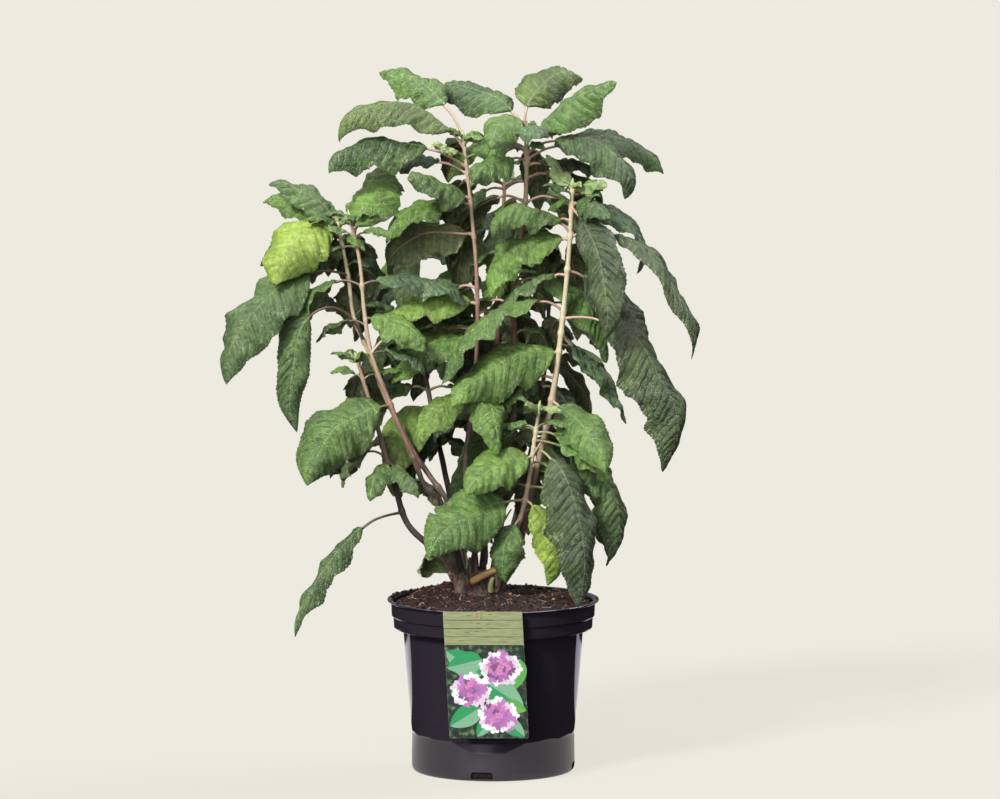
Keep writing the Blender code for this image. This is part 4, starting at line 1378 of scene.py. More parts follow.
def card_picture(settings):
    """The print: a planked header over flower heads and leaves on a dark ground."""
    dice, skin = random.Random(SEED + 2), Skin()
    edge, top = CARD_WIDE / 2 - 0.06, CARD_TALL * settings.header
    rim = round_corners(-edge, edge, 0.06, CARD_TALL - 0.06, settings.corner / MM)
    sheet_piece(skin, rim, 0.03, 0, 1)
    lay_planks(skin, edge, top, dice)
    lay_leaves(skin, edge, top)
    for x, y, radius in CARD_FLOWERS:
        flower_head(skin, (x, y), radius, 0.2, dice)
    leaf, petal, plank = settings.leaf, settings.petal, settings.plank
    tones = [
        leaf, towards(leaf, WHITE, 0.2), shaded(petal, 0.45), shaded(petal, 0.8), petal,
        towards(petal, (0.8, 0.25, 0.45), 0.5), towards(petal, WHITE, 0.55),
        towards(petal, WHITE, 0.9), shaded(petal, 0.3), shaded(plank, 0.45), LIME,
        towards(LIME, leaf, 0.4)]
    finishes = [plank_finish(plank), ground_finish(settings.ground)]
    finishes += [print_finish(f"card_ink_{i}", tone) for i, tone in enumerate(tones)]
    return skin.build("card_picture", finishes, 30)


def build_card(settings):
    board, picture = card_board(settings), card_picture(settings)
    for piece in (board, picture):
        outward(piece)
    place(board, "card", "label")
    place(picture, "card")

    skin, turn = Skin(), np.linspace(0, 2 * math.pi, 28)
    skin.tube(joined(
        CARD_X - 7 + 4.4 * np.sin(turn) + 3 * turn / 6.3, CARD_Y - 1.2 - 0.4 * np.sin(turn * 2),
        CARD_TOP - 4.5 + 5.2 * np.cos(turn)), np.full(28, 0.55), 8, 0)
    place(skin.build("card_raffia", [stalk_finish("raffia", linear(190, 158, 112))]), "card")


# Wood

CANE_STEP = 1.6  # distance between the rings of a cane, in mm
CROWN_STEPS, CROWN_LEVELS = 48, 14
PLAN = {}


def shrub_plan():
    """The canes' limbs and every shoot's leaves, worked out once."""
    if not PLAN:
        PLAN["limbs"] = make_limbs()
        PLAN["leaves"] = plan_leaves(PLAN["limbs"])
        PLAN["small"] = small_leaves(PLAN["limbs"], PLAN["leaves"])
    return PLAN["limbs"], PLAN["leaves"]


def small_leaves(limbs, plan):
    """Smaller leaves between the pairs, where the others leave them room."""
    dice, space, small = random.Random(SEED + 6), Space(limbs), {name: [] for name in plan}
    for leaves in plan.values():
        for leaf in leaves:
            if leaf:
                space.add(leaf_solid(leaf, CAGE_EXTRA, ROOT_CLEAR))
    for name, (first, turn, blade) in SMALL_RULES.items():
        limb, height, pair = limbs[name], first, 0
        while height < limb.points[-1].z / MM - 12:
            root, _, _ = limb.at(limb.distance_at(height * MM))
            for half in (0, 180):
                size = blade * dice.uniform(0.75, 1.25)
                bearing = turn + 90 * pair + half + dice.uniform(-30, 30)
                if math.sin(math.radians(bearing)) < 0.2 and not name.startswith("back"):
                    continue
                leaf = settle(Leaf(
                    root, bearing, dice.uniform(10, 45),
                    dice.uniform(-45, -85), dice.uniform(16, 34), size,
                    size * dice.uniform(0.36, 0.46), dice.uniform(-20, 20), dice.uniform(0, 20),
                    dice.uniform(1.0, 2.0)), space)
                small[name] += [leaf] if leaf else []
            height += dice.uniform(30, 40)
            pair += 1
    return small


def node_places(name, limb, gap):
    """Distances in mm along a cane at which it has a node."""
    _, leaves = shrub_plan()
    places = [
        min(range(len(limb.points)), key=lambda k: (limb.points[k] - leaf.root).length)
        for leaf in leaves.get(name, []) if leaf]
    places = sorted(limb.lengths[k] / MM for k in places)
    low, high = limb_cuts(name, limb)
    first = places[0] if places else limb.total / MM
    bare = np.arange(low / MM + gap * 0.7, min(first, high / MM + 200) - gap * 0.5, gap)
    return [*bare, *places]


def cane_skin(skin, name, limb, start, end, settings, sides=16):
    """A stretch of cane in mm along its limb, with ridges, swollen nodes and leaf scars."""
    dice = random.Random(name)
    distances = np.linspace(start, end, max(3, round((end - start) / CANE_STEP)))
    points, radii = [], []
    for distance in distances:
        point, _, radius = limb.at(min(max(distance * MM, 0), limb.total))
        points.append(point / MM)
        radii.append(radius / MM)
    points, radii = np.array(points), np.array(radii)
    turn = np.linspace(0, 2 * math.pi, sides, endpoint=False)
    grid, way = np.meshgrid(turn, distances)
    ridge = settings.ridge / MM
    age = np.clip(1 - distances / (limb.total / MM), 0.15, 1)[:, None]
    relief = np.sin(3 * grid + way / 29 + dice.uniform(0, 6)) * 0.6
    relief += np.sin(5 * grid - way / 17 + dice.uniform(0, 6))
    relief += np.sin(7 * grid + way / 7.3 + dice.uniform(0, 6)) * 0.5
    relief += np.sin(way / 5.1 + 2 * np.sin(grid)) * 0.5
    full = radii[:, None] + relief * ridge * age
    for index, spot in enumerate(node_places(name, limb, settings.node_gap / MM)):
        near = np.exp(-((way - spot) / 4.2) ** 2)
        full += radii[:, None] * settings.swelling * near
        full += 0.22 * np.exp(-((way - spot - 2.4) / 0.9) ** 2)
        first = (index % 2) * math.pi / 2 + 0.4
        for facing in (first, first + math.pi):
            off = np.angle(np.exp(1j * (grid - facing)))
            full += 1.0 * np.exp(-((way - spot) / 2.6) ** 2 - (off / 0.5) ** 2)
            full -= 0.45 * np.exp(-((way - spot + 0.4) / 1.2) ** 2 - (off / 0.28) ** 2)
    skin.tube(points, full, sides, 0)


def snag(skin, start, end, foot, dice, slot=0, tip=0.75, sides=10):
    """A short blunt dead twig with a splintered end."""
    start, end = np.array(start, float), np.array(end, float)
    shares = np.linspace(0, 1, 12)
    bow = np.array([dice.uniform(-1, 1) for _ in range(3)]) * np.linalg.norm(end - start) * 0.07
    points = start + (end - start) * shares[:, None] + bow * np.sin(math.pi * shares)[:, None]
    radii = np.stack([
        foot * (1 + (tip - 1) * s)
        * (1 + np.array([dice.uniform(-0.1, 0.12) for _ in range(sides)])) for s in shares])
    radii[-1] *= 0.72
    skin.tube(points, radii, sides, slot)


def build_crown(settings):
    """The woody foot: lobes, collars round every cane and blunt snags, grown into one mass."""
    limbs, _ = shrub_plan()
    skin, dice = Skin(), random.Random(SEED + 3)
    turn = np.linspace(0, 2 * math.pi, CROWN_STEPS, endpoint=False)
    lobes = sum(size * np.cos(n * turn + first) for n, size, first in CROWN_LOBES)
    heights = np.linspace(-5, CROWN_RINGS[-1][0], CROWN_LEVELS)
    radii = np.interp(heights, [h for h, _ in CROWN_RINGS], [r for _, r in CROWN_RINGS])
    radii = radii * np.where(heights > 24, 1 - (heights - 24) / 14, 1)
    centres = joined(*(np.full(CROWN_LEVELS, at) for at in CROWN_AT), SOIL_TOP + heights)
    across = np.array([[1.0, 0, 0]] * CROWN_LEVELS)
    skin.tube(centres, radii[:, None] * 0.93 * (1 + lobes), CROWN_STEPS, 0, across=across)
    for name, limb in limbs.items():
        low, _ = limb_cuts(name, limb)
        if low:
            distances = np.linspace(0, low / MM, 12)
            points = [limb.at(d * MM)[0] / MM for d in distances]
            collar = [limb.at(d * MM)[2] / MM * (1.03 + 0.5 * (1 - d / distances[-1]) ** 2)
                      for d in distances]
            skin.tube(points, collar, 14, 0)
    for start, end, radius in SNAGS:
        snag(skin, start, end, radius, dice)
    foot, brown = settings.foot, settings.brown
    stops = (
        (0.22, shaded(foot, 0.8)), (0.25, towards(foot, brown, 0.18)),
        (0.29, towards(foot, brown, 0.35)))
    crown = skin.build("crown_wood", [bark_finish("bark_crown", stops, 0.9)])
    outward(crown)
    grown = crown.modifiers.new("Grown together", "REMESH")
    grown.mode, grown.voxel_size = "VOXEL", 0.0011
    soft = crown.modifiers.new("Softened", "SMOOTH")
    soft.factor, soft.iterations = 0.5, 6
    applied(crown)
    gnarl(crown, settings.ridge)
    place(crown, "bark", "woody_crown")
    build_sawn_end(settings)


def gnarl(obj, ridge):
    """Roughens old wood: knots, and cracks that run up it."""
    mesh = obj.data
    for vertex in mesh.vertices:
        spot, normal = vertex.co / MM, vertex.normal
        knots = noise.noise(spot / 9) * 1.6
        cracks = abs(noise.noise(Vector((spot.x / 2.6, spot.y / 2.6, spot.z / 13))))
        grain = noise.noise(Vector((spot.x / 1.1, spot.y / 1.1, spot.z / 6)))
        vertex.co += normal * (knots + (cracks - 0.22) * 5.5 + grain * 0.7) * ridge
    mesh.shade_smooth()
    mesh.update()


def build_sawn_end(settings):
    """The stub that was sawn off: peeled orange wood, knuckled at its foot, with a flat cut."""
    dice, skin = random.Random(SEED + 4), Skin()
    foot, knuckle, end = (np.array(point, float) for point in SAWN_LIES)
    shares = np.linspace(0, 1, 20)
    points = [foot + (knuckle - foot) * s for s in (0, 0.5)]
    points = np.array(points + [knuckle + (end - knuckle) * s for s in shares[:-1] * 1.03])
    radii = SAWN_RADIUS * np.concatenate([[0.8, 1.12], 1.1 - 0.18 * shares[:-1]])[:, None]
    radii = radii * (1 + np.array([[dice.uniform(-0.05, 0.05) for _ in range(18)] for _ in radii]))
    skin.tube(points, radii, 18, 0)
    cut = np.array([knuckle + (end - knuckle) * s for s in (0.97, 0.995, 1.01)])
    skin.tube(cut, [SAWN_RADIUS * 0.8, SAWN_RADIUS * 0.78, SAWN_RADIUS * 0.7], 18, 1)
    sawn = settings.sawn
    finishes = [
        bark_finish("bark_sawn", ((0.245, shaded(sawn, 0.7)), (0.262, sawn)), 0.25),
        stalk_finish("wood_cut", towards(sawn, WHITE, 0.3))]
    place(skin.build("crown_sawn_stub", finishes), "bark")


def cane_stops(name, settings):
    """The colours of a cane's bark by height in metres."""
    foot, brown, tan, cream = settings.foot, settings.brown, settings.tan, settings.cream
    if name == "right":
        return ((0.26, foot), (0.36, brown), (0.50, tan), (0.57, cream), (0.75, cream))
    if name == "low_right":
        return ((0.25, foot), (0.31, brown), (0.37, tan), (0.48, cream))
    if name == "left_outer":
        return ((0.36, foot), (0.44, brown), (0.55, tan), (0.62, cream))
    if name.startswith("left"):
        return ((0.25, shaded(foot, 0.7)), (0.38, shaded(foot, 1.2)), (0.47, brown), (0.60, tan))
    return ((0.25, shaded(foot, 0.8)), (0.42, shaded(foot, 1.3)), (0.62, brown), (0.80, tan))


def build_canes(settings):
    limbs, _ = shrub_plan()
    for name, limb in limbs.items():
        _, high = limb_cuts(name, limb)
        skin = Skin()
        start = 2.0 if CANES[name].stub else -0.2
        cane_skin(skin, name, limb, start, high / MM + 0.5, settings)
        finish = bark_finish("bark_" + name, cane_stops(name, settings), 0.35)
        place(skin.build("bark_" + name, [finish], 60), "cane", "cane_" + name)
    dice, skin = random.Random(SEED + 5), Skin()
    for slot, (pieces, tip, sides) in enumerate(
            ((DEAD_TWIGS, 0.6, 8), (PALE_STUBS, 0.7, 8), (CROWN_SHOOTS, 0.6, 10))):
        for start, end, radius in pieces:
            snag(skin, start, end, radius, dice, slot, tip, sides)
    foot, tan, cream = settings.foot, settings.tan, settings.cream
    finishes = [
        bark_finish("bark_dead", ((0.26, shaded(foot, 0.7)), (0.38, foot)), 0.7),
        bark_finish("bark_pale", ((0.2, tan), (0.6, cream)), 0.3),
        stalk_finish("shoot_pale", towards(cream, (0.3, 0.4, 0.12), 0.35))]
    place(skin.build("dead_twigs", finishes, 60), "bark")


# Stalks and leaves

class Axis:
    """A leaf's axis, with its side and upper directions. Distances in mm from the root."""

    def __init__(self, leaf):
        self.leaf, self.total = leaf, leaf.petiole + leaf.blade
        dice = random.Random(round(leaf.bearing * 1000 + leaf.blade * 10))
        far = dice.uniform(0.008, 0.02) * leaf.blade
        self.sway = far, dice.uniform(1.1, 1.9), dice.uniform(0, 6)
        self.hook = dice.uniform(0.03, 0.12) * leaf.blade
        self.twist = dice.uniform(-14, 14)
        slope = self.slope((np.arange(LEAF_STEPS) + 0.5) / LEAF_STEPS)
        step = self.total / LEAF_STEPS
        self.reach = np.concatenate([[0], np.cumsum(step * np.cos(slope))])
        self.rise = np.concatenate([[0], np.cumsum(step * np.sin(slope))])

    def slope(self, along):
        if self.leaf.curl > LATE:
            along = along**2
        turn = 1 - (1 - along) ** self.leaf.curl
        return np.radians(self.leaf.rise + (self.leaf.end - self.leaf.rise) * turn)

    def frame(self, distance):
        """Points, side directions and upper directions at an array of distances."""
        distance = np.asarray(distance, float)
        along = np.clip(distance / self.total, 0, 1)
        steps = np.linspace(0, 1, LEAF_STEPS + 1)
        slope, bearing = self.slope(along), math.radians(self.leaf.bearing)
        out, up = np.array([math.cos(bearing), math.sin(bearing), 0]), np.array([0, 0, 1.0])
        before = np.minimum(distance, 0)
        reach = np.interp(along, steps, self.reach) + before * np.cos(slope)
        rise = np.interp(along, steps, self.rise) + before * np.sin(slope)
        points = np.array(self.leaf.root) / MM + out * reach[..., None] + up * rise[..., None]
        upper = up * np.cos(slope)[..., None] - out * np.sin(slope)[..., None]
        side = np.broadcast_to([-out[1], out[0], 0], upper.shape)
        blade = np.clip((distance - self.leaf.petiole) / self.leaf.blade, 0, 1)
        size, waves, first = self.sway
        lift = size * np.sin(2 * math.pi * waves * blade + first) * 4 * blade * (1 - blade)
        lift = lift - self.hook * np.clip((blade - 0.72) / 0.28, 0, 1) ** 2
        points = points + upper * lift[..., None]
        share = np.clip(distance / self.leaf.petiole, 0, 1)
        roll = np.radians(self.leaf.roll * share + self.twist * blade**1.4)
        roll = roll * (1 if out[0] >= 0 else -1)
        cos, sin = np.cos(roll)[..., None], np.sin(roll)[..., None]
        return points, side * cos + upper * sin, upper * cos - side * sin


def blade_rows(veins, blade):
    """Rows across a blade from its base: place, share of the way to the next vein, and whether
    the strip up to the next row is a vein."""
    half = 0.5 / blade
    middles = [0.035 + 0.93 * (k + 0.35) / veins for k in range(veins)]
    rows = [(0.0015, 0.0, False), (middles[0] * 0.35, 0.3, False), (middles[0] * 0.7, 0.6, False)]
    for index, middle in enumerate(middles):
        after = middles[index + 1] if index + 1 < veins else 0.998
        rows += [(middle - half, 0.0, True), (middle + half, 0.0, False)]
        rows += [(middle + (after - middle) * u, u, False) for u in (0.25, 0.5, 0.75)]
    places, between, veined = zip(*rows)
    return np.array(places), np.array(between), np.array(veined)


def blade_points(leaf, rows, tone, settings, dice):
    """Points of a blade's upper and under skin, and its tip. The blade bulges between its veins,
    and its toothed margin waves."""
    places, between, veined = rows
    axis, blade, width = Axis(leaf), leaf.blade, leaf.width
    q = np.array([*COLUMNS[::-1], 0, *COLUMNS])
    sign = np.repeat([-1, 0, 1], [HALF, 1, HALF])
    s0 = places[:, None]
    s = s0 + 0.72 * s0 * (1 - s0) * q**1.4
    phase = [dice.uniform(0, 2 * math.pi) for _ in range(8)]
    right = sign > 0
    wave = np.where(right, dice.uniform(1.5, 2.8), dice.uniform(1.5, 2.8))
    shift = np.where(right, phase[0], phase[1])
    turns = 2 * math.pi * s
    lobe = 0.045 * np.sin(turns * wave * 1.3 + shift * 2)
    lobe += 0.022 * np.sin(turns * wave * 3.1 + shift + 2 * np.sin(turns * 1.7))
    lobe += np.where(right, dice.uniform(-0.08, 0.08), 0)
    if dice.random() < 0.35:
        torn = s - dice.uniform(0.35, 0.85)
        lobe = lobe - np.where(right == (dice.random() < 0.5), 0.3, 0) * np.exp(-(torn / 0.03) ** 2)
    mid = 0.25 + 0.8 * (1 - s) ** 0.7
    share = outline(np.clip(s, 0, 1))
    half = np.maximum(width / 2 * share * (1 + lobe), mid + 0.25)
    lateral = np.where(sign == 0, 0, mid + (half - mid) * q)
    tooth = settings.tooth / MM * np.minimum(1, half / 12)
    tooth *= np.where(np.arange(len(places)) % 2 == 0, 0.6, -0.4)[:, None]
    lateral += np.where(q == 1, tooth, 0)
    fold = math.radians(leaf.fold) * share
    flat, height = lateral * np.cos(fold), -lateral * np.sin(fold)
    hood = (0.6 + 0.9 * s) * dice.uniform(0.5, 1.7)
    height -= settings.arch * width * share * q**2.4 * hood
    edge = np.clip((q - 0.7) / 0.3, 0, 1) ** 2
    height -= settings.roll / MM * dice.uniform(0.3, 1.6) * edge * share
    ruffle = settings.ruffle * width * q**1.8 * np.sin(math.pi * np.clip(s, 0, 1)) ** 0.5
    height += ruffle * np.sin(turns * wave + shift)
    height += 0.4 * ruffle * np.sin(turns * wave * 2.7 + shift * 3)
    bulge = np.sin(math.pi * between)[:, None] ** 0.8 * (q + 0.02) ** 0.4 * (1 - 0.8 * q**3)
    quilt = settings.quilt / MM * (1.25 if TONES[tone] in QUILTED else 0.9)
    height += quilt * bulge * np.minimum(1, share * 1.3) ** 0.5
    x, along = lateral * sign, s * blade
    rumpled = dice.uniform(0.9, 2.2) * (np.minimum(1, q * 3) * share)
    height += 1.3 * rumpled * np.sin(along / 9.5 + x / 7 + phase[2])
    height += 0.9 * rumpled * np.sin(along / 6.1 - x / 5.3 + phase[3])
    groove = np.where(sign == 0, 0.7, 0) * (1 - s) ** 0.5
    vein_rows = (veined | np.concatenate([[False], veined[:-1]]))[:, None]
    groove += np.where(vein_rows & (q > 0), 0.4 * (1 - q**2), 0)
    points, side, upper = axis.frame(leaf.petiole + along)
    top = points + side * (flat * sign)[..., None] + upper * (height - groove)[..., None]
    thick = settings.thickness / MM * (1 - 0.4 * q) + np.where(sign == 0, 0.5, 0)
    low = top - upper * (thick + groove * 0.4)[..., None]
    tip, _, _ = axis.frame(np.array([leaf.petiole + blade]))
    return np.concatenate([top.reshape(-1, 3), low.reshape(-1, 3), tip])


def lay_blade(skin, leaf, tone, settings, dice):
    """A leaf's blade: an upper and an under skin joined round the margin, with its veins and a
    dried tip told apart by their finish."""
    veins = max(3, round(leaf.blade * 0.93 / (settings.vein_gap / MM)))
    rows = blade_rows(veins, leaf.blade)
    places, _, veined = rows
    points = blade_points(leaf, rows, tone, settings, dice)
    count, columns = len(places), 2 * HALF + 1
    total, wide = count * columns, columns - 1
    r, c = np.meshgrid(np.arange(count - 1), np.arange(wide), indexing="ij")
    a = (r * columns + c).ravel()
    quads = joined(a, a + columns, a + columns + 1, a + 1)
    middle = ((c == HALF - 1) | (c == HALF)).ravel()
    on_vein = (veined[r] & (c > 0) & (c < wide - 1)).ravel()
    scorched = dice.random() < 0.22
    burnt = (places[r] > 0.955).ravel() & scorched
    top_slots = np.where(burnt, SCORCH, np.where(middle | on_vein, RIBS + tone, tone))
    pale = TONES[tone] in PALE_BELOW
    under, under_rib = (tone, RIBS + tone) if pale else (UNDER, UNDER + 1)
    low_slots = np.where(burnt, SCORCH, np.where(middle | on_vein, under_rib, under))
    start = skin.total
    skin.lay(points, quads, top_slots)
    skin.also(quads[:, ::-1] + total, low_slots, start)
    c, peak = np.arange(wide), 2 * total
    last, tips = (count - 1) * columns, np.full(wide, peak)
    end = SCORCH if scorched else tone
    skin.also(joined(last + c, tips, last + c + 1), end, start)
    skin.also(joined(total + last + c + 1, tips, total + last + c), under, start)
    r = np.arange(count - 1) * columns
    skin.also(joined(r, r + total, r + columns + total, r + columns), tone, start)
    r = r + wide
    skin.also(joined(r + columns, r + columns + total, r + total, r), tone, start)
    skin.also(joined(c + 1, c + 1 + total, c + total, c), tone, start)
    skin.also([(last, last + total, peak), (last + wide + total, last + wide, peak)], tone, start)


def lay_stalk(skin, leaf, slot, sides=8):
    """A leaf's stalk, flared where it clasps the cane, and its midrib under the blade."""
    axis, petiole, blade = Axis(leaf), leaf.petiole, leaf.blade
    stalk = np.linspace(-ROOT_SUNK, petiole, max(5, round(petiole / 4)))
    rib = petiole + blade * np.linspace(0, 0.9, max(8, round(blade / 7)))[1:]
    distances = np.concatenate([stalk, rib])
    under = np.clip((distances - petiole) / blade, 0, 1)
    size = min(1.0, 0.45 + blade / 180)
    radii = size * np.where(
        distances < petiole, PETIOLE_RADIUS + 0.2 + 1.2 * np.exp(-np.maximum(distances, 0) / 5),
        PETIOLE_RADIUS * (1 - under) ** 0.8 + 0.25)
    points, side, upper = axis.frame(distances)
    sunk = np.clip((distances - petiole * 0.7) / (petiole * 0.3), 0, 1) * (radii + 0.75)
    skin.tube(points - upper * sunk[:, None], radii, sides, slot, across=side)


def young_leaves(limb, dice):
    """Small leaves at the very tip of a shoot, and a pair in the axil below."""
    leaves, turn = [], dice.uniform(0, 180)
    for pair, (back, blade) in enumerate(TIP_PAIRS):
        root, _, _ = limb.at(limb.total - back * MM)
        for half in (0, 180):
            bearing = turn + 90 * pair + half + dice.uniform(-15, 15)
            size = blade * dice.uniform(0.75, 1.15)
            leaves.append(Leaf(
                root, bearing, dice.uniform(52, 76) - 10 * pair, dice.uniform(-50, 10),
                7 + 4 * pair, size, size * dice.uniform(0.34, 0.44), dice.uniform(-20, 20),
                dice.uniform(10, 35), 1.3))
    return leaves


def bud(skin, limb, slot):
    """The pointed bud at the end of a shoot."""
    point, along, radius = limb.at(limb.total)
    shares = np.linspace(0, 1, 9)
    points = np.array([(point + along * (14 * MM * s)) / MM for s in shares])
    radii = radius / MM * 1.15 * (1 - shares**1.6) ** 0.8 * (1 + 0.25 * np.sin(3 * shares)) + 0.15
    skin.tube(points, radii, 10, slot)


def foliage_finishes(settings):
    """The blades' finishes: the tones, their ribs, the underside and its ribs, and scorch."""
    rib, under = settings.rib, settings.under
    tones = [getattr(settings, tone) for tone in TONES]
    finishes = [blade_finish("leaf_" + name, tone, rib) for name, tone in zip(TONES, tones)]
    finishes += [
        blade_finish(f"leaf_{name}_vein", towards(tone, rib, 0.32), rib, 0.5)
        for name, tone in zip(TONES, tones)]
    return finishes + [
        blade_finish("leaf_under", under, rib, 0.8),
        blade_finish("leaf_under_vein", towards(under, rib, 0.5), rib, 0.5),
        blade_finish("leaf_scorch", settings.scorch, (0.2, 0.12, 0.05))]


def dealt(weights, dice):
    """A tone's place, drawn by weight."""
    return TONES.index(dice.choices(list(weights), list(weights.values()))[0])


def tone_of(name, index, dice):
    seen = SEEN_TONES.get(name, "").split()
    return TONES.index(seen[index]) if index < len(seen) else dealt(RULE_TONES, dice)


def young_plan(name, limb):
    """The small and young leaves of a shoot with their tones."""
    dice = random.Random(name + " young")
    small = [(leaf, dealt(SMALL_TONES, dice)) for leaf in PLAN["small"][name]]
    return small + [(leaf, dealt(TIP_TONES, dice)) for leaf in young_leaves(limb, dice)]


def build_stems(wood, settings):
    limbs, plan = shrub_plan()
    tones = ("maroon", "rosy", "green")
    stalks = [stalk_finish("stalk_" + tone, getattr(settings, tone)) for tone in tones]
    buds = stalk_finish("bud", settings.young)
    for name, leaves in plan.items():
        limb, skin = limbs[name], Skin()
        _, high = limb_cuts(name, limb)
        cane_skin(skin, name, limb, high / MM - 0.5, limb.total / MM, wood, sides=14)
        bark = bark_finish("bark_shoot_" + name, cane_stops(name, wood), 0.3)
        slot = 1 + tones.index(STALKS[name])
        for leaf in leaves:
            if leaf:
                lay_stalk(skin, leaf, slot)
        for leaf, _ in young_plan(name, limb):
            lay_stalk(skin, leaf, len(tones) if leaf.blade < GREEN_BELOW else slot)
        bud(skin, limb, len(tones) + 1)
        place(skin.build("stems_" + name, [bark, *stalks, buds], 60), "cane")


def build_leaves(settings):
    limbs, plan = shrub_plan()
    finishes = foliage_finishes(settings)
    for name, leaves in plan.items():
        dice, skin = random.Random(name + " blades"), Skin()
        for index, leaf in enumerate(leaves):
            if leaf:
                lay_blade(skin, leaf, tone_of(name, index, dice), settings, dice)
        for leaf, tone in young_plan(name, limbs[name]):
            lay_blade(skin, leaf, tone, settings, dice)
        piece = skin.build("leaves_" + name, finishes, 70)
        place(piece, "leaf", "foliage_" + name)


# Stage

def glowing(name, tone, glow, base):
    """A matt finish that glows."""
    finish = Finish(name)
    shade = finish.blend(finish.cloud(3), shaded(tone, base), shaded(tone, base * 1.03))
    material = finish.surface(shade, 1.0, gloss=0.0)
    shader = material.node_tree.nodes["Principled BSDF"]
    shader.inputs["Emission Color"].default_value = (*tone, 1)
    shader.inputs["Emission Strength"].default_value = glow
    return material


def stage_piece(name, corners, faces, tone, glow, base):
    mesh = bpy.data.meshes.new(name)
    mesh.from_pydata(corners, [], faces)
    mesh.materials.append(glowing(name, tone, glow, base))
    obj = bpy.data.objects.new(name, mesh)
    bpy.context.scene.collection.objects.link(obj)
    return obj


def gloss_panel(*made_of):
    """A stage piece that shows only in gloss."""
    panel = stage_piece(*made_of)
    panel.visible_camera = panel.visible_diffuse = panel.visible_shadow = False


def round_front(turn, radius, height):
    """A place round the pot, turned from the front."""
    return radius * math.sin(turn), -radius * math.cos(turn), height


def face(obj, aim):
    """Turns a light or a camera towards a place."""
    obj.rotation_euler = (Vector(aim) - obj.location).to_track_quat("-Z", "Y").to_euler()
    bpy.context.scene.collection.objects.link(obj)


def sun(name, location, energy, spread):
    """A sun that shines from a place at the middle of the shrub."""
    light = bpy.data.lights.new(name, "SUN")
    light.energy, light.angle = energy, math.radians(spread)
    obj = bpy.data.objects.new(name, light)
    obj.location = location
    face(obj, (0, 0, 0.5))


def gloss_panels(settings):
    """A dark cloth round the front that dips at its middle, strips of it at the sides, bright
    strips beside the pot, and a bright box overhead."""
    corners = []
    for step in range(33):
        turn = math.radians(-128 + 8 * step)
        high = 0.05 - 0.013 * math.exp(-((turn + 0.05) / 0.4) ** 4) + 0.001 * math.sin(turn * 31)
        corners += [round_front(turn, r, high) for r in (0.1125, 7)]
    total = len(corners)
    strip = [(k, k + 1, k + 3, k + 2) for k in (*range(0, total - 2, 2), total, total + 4)]
    corners += [round_front(side * turn, r, 0.05)
                for side in (1, -1) for turn in (2.23, 2.8) for r in (0.75, 7)]
    gloss_panel("stage_cloth", corners, strip, (0.012, 0.012, 0.015), 0, 1)
    corners = [round_front(side * turn, r, 0.003)
               for side in (1, -1) for turn in (2.23, 2.75) for r in (0.26, 1.1)]
    gloss_panel(
        "stage_edge_light", corners, [(0, 1, 3, 2), (4, 6, 7, 5)], (0.93, 0.91, 1),
        settings.edge, 0.5)
    left, right, near, far, high = -2.2, 1.8, -4, 0.6, 2.5
    gloss_panel(
        "stage_box", [(left, near, high), (right, near, high), (right, far, high),
                      (left, far, high)], [(0, 1, 2, 3)], (1, 0.99, 0.97), settings.box, 0.5)


def build_sky(tone, power):
    """A soft sky, brighter towards the top; a camera sees the floor's colour in it."""
    world = bpy.data.worlds.new("stage_sky")
    world.use_nodes = True
    sky, top = Nodes(world.node_tree), (1, 0.99, 0.97)
    way = sky.node("ShaderNodeTexCoord").outputs["Generated"]
    height = sky.node("ShaderNodeSeparateXYZ", values={0: way}).outputs["Z"]
    stops = ((0, shaded(top, 0.45)), (0.9, top))
    light = sky.node("ShaderNodeValToRGB", {"stops": stops}, {0: height}).outputs[0]
    direct = sky.node("ShaderNodeLightPath").outputs["Is Camera Ray"]
    shade = sky.node(
        "ShaderNodeMix", {"data_type": "RGBA"},
        {0: direct, 6: light, 7: shaded(tone, 1 / power)}).outputs[2]
    glow = sky.node("ShaderNodeBackground", values={"Color": shade, "Strength": power})
    sky.node("ShaderNodeOutputWorld", values={"Surface": glow.outputs[0]})
    bpy.context.scene.world = world


def build_stage(settings):
    """A pale floor that hardly takes a shadow, soft lights, the panels and the camera."""
    tone, far = settings.floor, 60
    floor = stage_piece(
        "stage_floor", [(-far, -far, 0), (far, -far, 0), (far, far, 0), (-far, far, 0)],
        [(0, 1, 2, 3)], tone, 0.8, 0.12)
    floor.visible_diffuse = False
    gloss_panels(settings)

    build_sky(tone, settings.sky)
    sun("key", (-2.2, -3.3, 3.5), settings.key, 11)
    sun("fill", (3.2, 1.8, 3.6), settings.fill, 30)
    sun("front", (-1.4, -4.0, 1.3), settings.front, 30)

    camera = bpy.data.objects.new("camera", bpy.data.cameras.new("camera"))
    camera.data.lens, camera.data.sensor_width = 219.6, 36
    camera.location = (0.009, -8, 1.324)
    face(camera, (0.009, 0, 0.4925))
    bpy.context.scene.camera = camera
    bpy.context.scene.view_settings.view_transform = "Standard"


# Add-on

class Builder:
    """What the operators share."""
    bl_options = {"REGISTER", "UNDO"}


class HYDRANGEA_OT_pot(Builder, bpy.types.Operator):
    """Build the moulded pot with its rim and drain windows"""
    bl_idname = "hydrangea.pot"
    bl_label = "Pot"

    def execute(self, context):
        build_pot(context.scene.hydrangea.pot)
        return {"FINISHED"}


class HYDRANGEA_OT_soil(Builder, bpy.types.Operator):
    """Build the compost with its crumbs, bark chips and fibres"""
    bl_idname = "hydrangea.soil"
    bl_label = "Soil"

    def execute(self, context):
        build_soil(context.scene.hydrangea.soil)
        return {"FINISHED"}


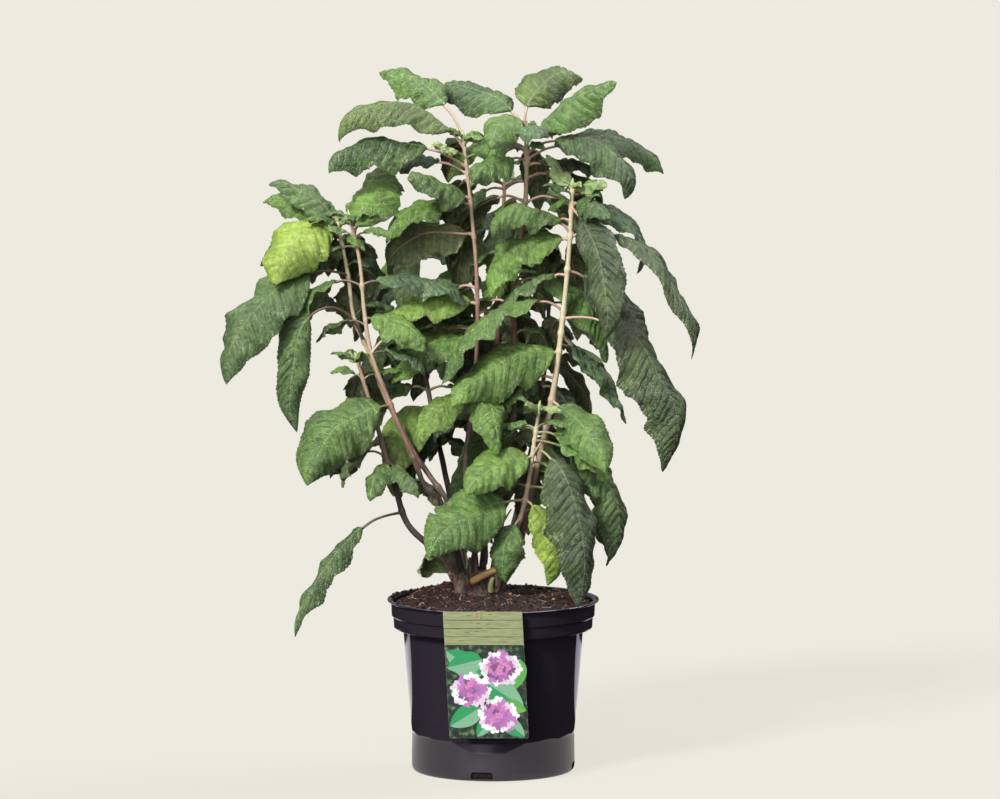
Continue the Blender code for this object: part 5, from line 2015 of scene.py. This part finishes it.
class HYDRANGEA_OT_card(Builder, bpy.types.Operator):
    """Build the hang card with its strap, printed picture and raffia loop"""
    bl_idname = "hydrangea.card"
    bl_label = "Hang card"

    def execute(self, context):
        build_card(context.scene.hydrangea.card)
        return {"FINISHED"}


class HYDRANGEA_OT_crown(Builder, bpy.types.Operator):
    """Build the woody crown with its snags and sawn stub"""
    bl_idname = "hydrangea.crown"
    bl_label = "Woody crown"

    def execute(self, context):
        build_crown(context.scene.hydrangea.wood)
        return {"FINISHED"}


class HYDRANGEA_OT_canes(Builder, bpy.types.Operator):
    """Build the canes with their bark and nodes, and the dead twigs"""
    bl_idname = "hydrangea.canes"
    bl_label = "Canes"

    def execute(self, context):
        build_canes(context.scene.hydrangea.wood)
        return {"FINISHED"}


class HYDRANGEA_OT_stems(Builder, bpy.types.Operator):
    """Build the leafy shoots' stems, buds and leaf stalks"""
    bl_idname = "hydrangea.stems"
    bl_label = "Stems and stalks"

    def execute(self, context):
        shrub = context.scene.hydrangea
        build_stems(shrub.wood, shrub.leaf)
        return {"FINISHED"}


class HYDRANGEA_OT_leaves(Builder, bpy.types.Operator):
    """Build the veined leaves of every shoot"""
    bl_idname = "hydrangea.leaves"
    bl_label = "Leaves"

    def execute(self, context):
        build_leaves(context.scene.hydrangea.leaf)
        return {"FINISHED"}


class HYDRANGEA_OT_stage(Builder, bpy.types.Operator):
    """Set the floor, the lights and the camera"""
    bl_idname = "hydrangea.stage"
    bl_label = "Stage"

    def execute(self, context):
        build_stage(context.scene.hydrangea.stage)
        return {"FINISHED"}


STEPS = (
    HYDRANGEA_OT_pot, HYDRANGEA_OT_soil, HYDRANGEA_OT_card, HYDRANGEA_OT_crown,
    HYDRANGEA_OT_canes, HYDRANGEA_OT_stems, HYDRANGEA_OT_leaves, HYDRANGEA_OT_stage,
)


class HYDRANGEA_PT_panel(bpy.types.Panel):
    """Lists the shrub's pieces and their settings"""
    bl_label = "Potted hydrangea"
    bl_idname = "HYDRANGEA_PT_panel"
    bl_space_type = "VIEW_3D"
    bl_region_type = "UI"
    bl_category = "Hydrangea"

    def draw(self, context):
        shrub = context.scene.hydrangea
        for step in STEPS:
            self.layout.operator(step.bl_idname)
        for group in ("pot", "soil", "card", "wood", "leaf", "stage"):
            box = self.layout.box()
            box.label(text=group.capitalize())
            settings = getattr(shrub, group)
            for name in settings.__annotations__:
                box.prop(settings, name)


CLASSES = (
    PotSettings, SoilSettings, CardSettings, WoodSettings, LeafSettings, StageSettings,
    ShrubSettings, *STEPS, HYDRANGEA_PT_panel,
)


def register():
    for item in CLASSES:
        bpy.utils.register_class(item)
    bpy.types.Scene.hydrangea = PointerProperty(type=ShrubSettings)


def unregister():
    del bpy.types.Scene.hydrangea
    for item in reversed(CLASSES):
        bpy.utils.unregister_class(item)


def main():
    register()
    for step in STEPS:
        group, name = step.bl_idname.split(".")
        getattr(getattr(bpy.ops, group), name)()


if __name__ == "__main__":
    main()
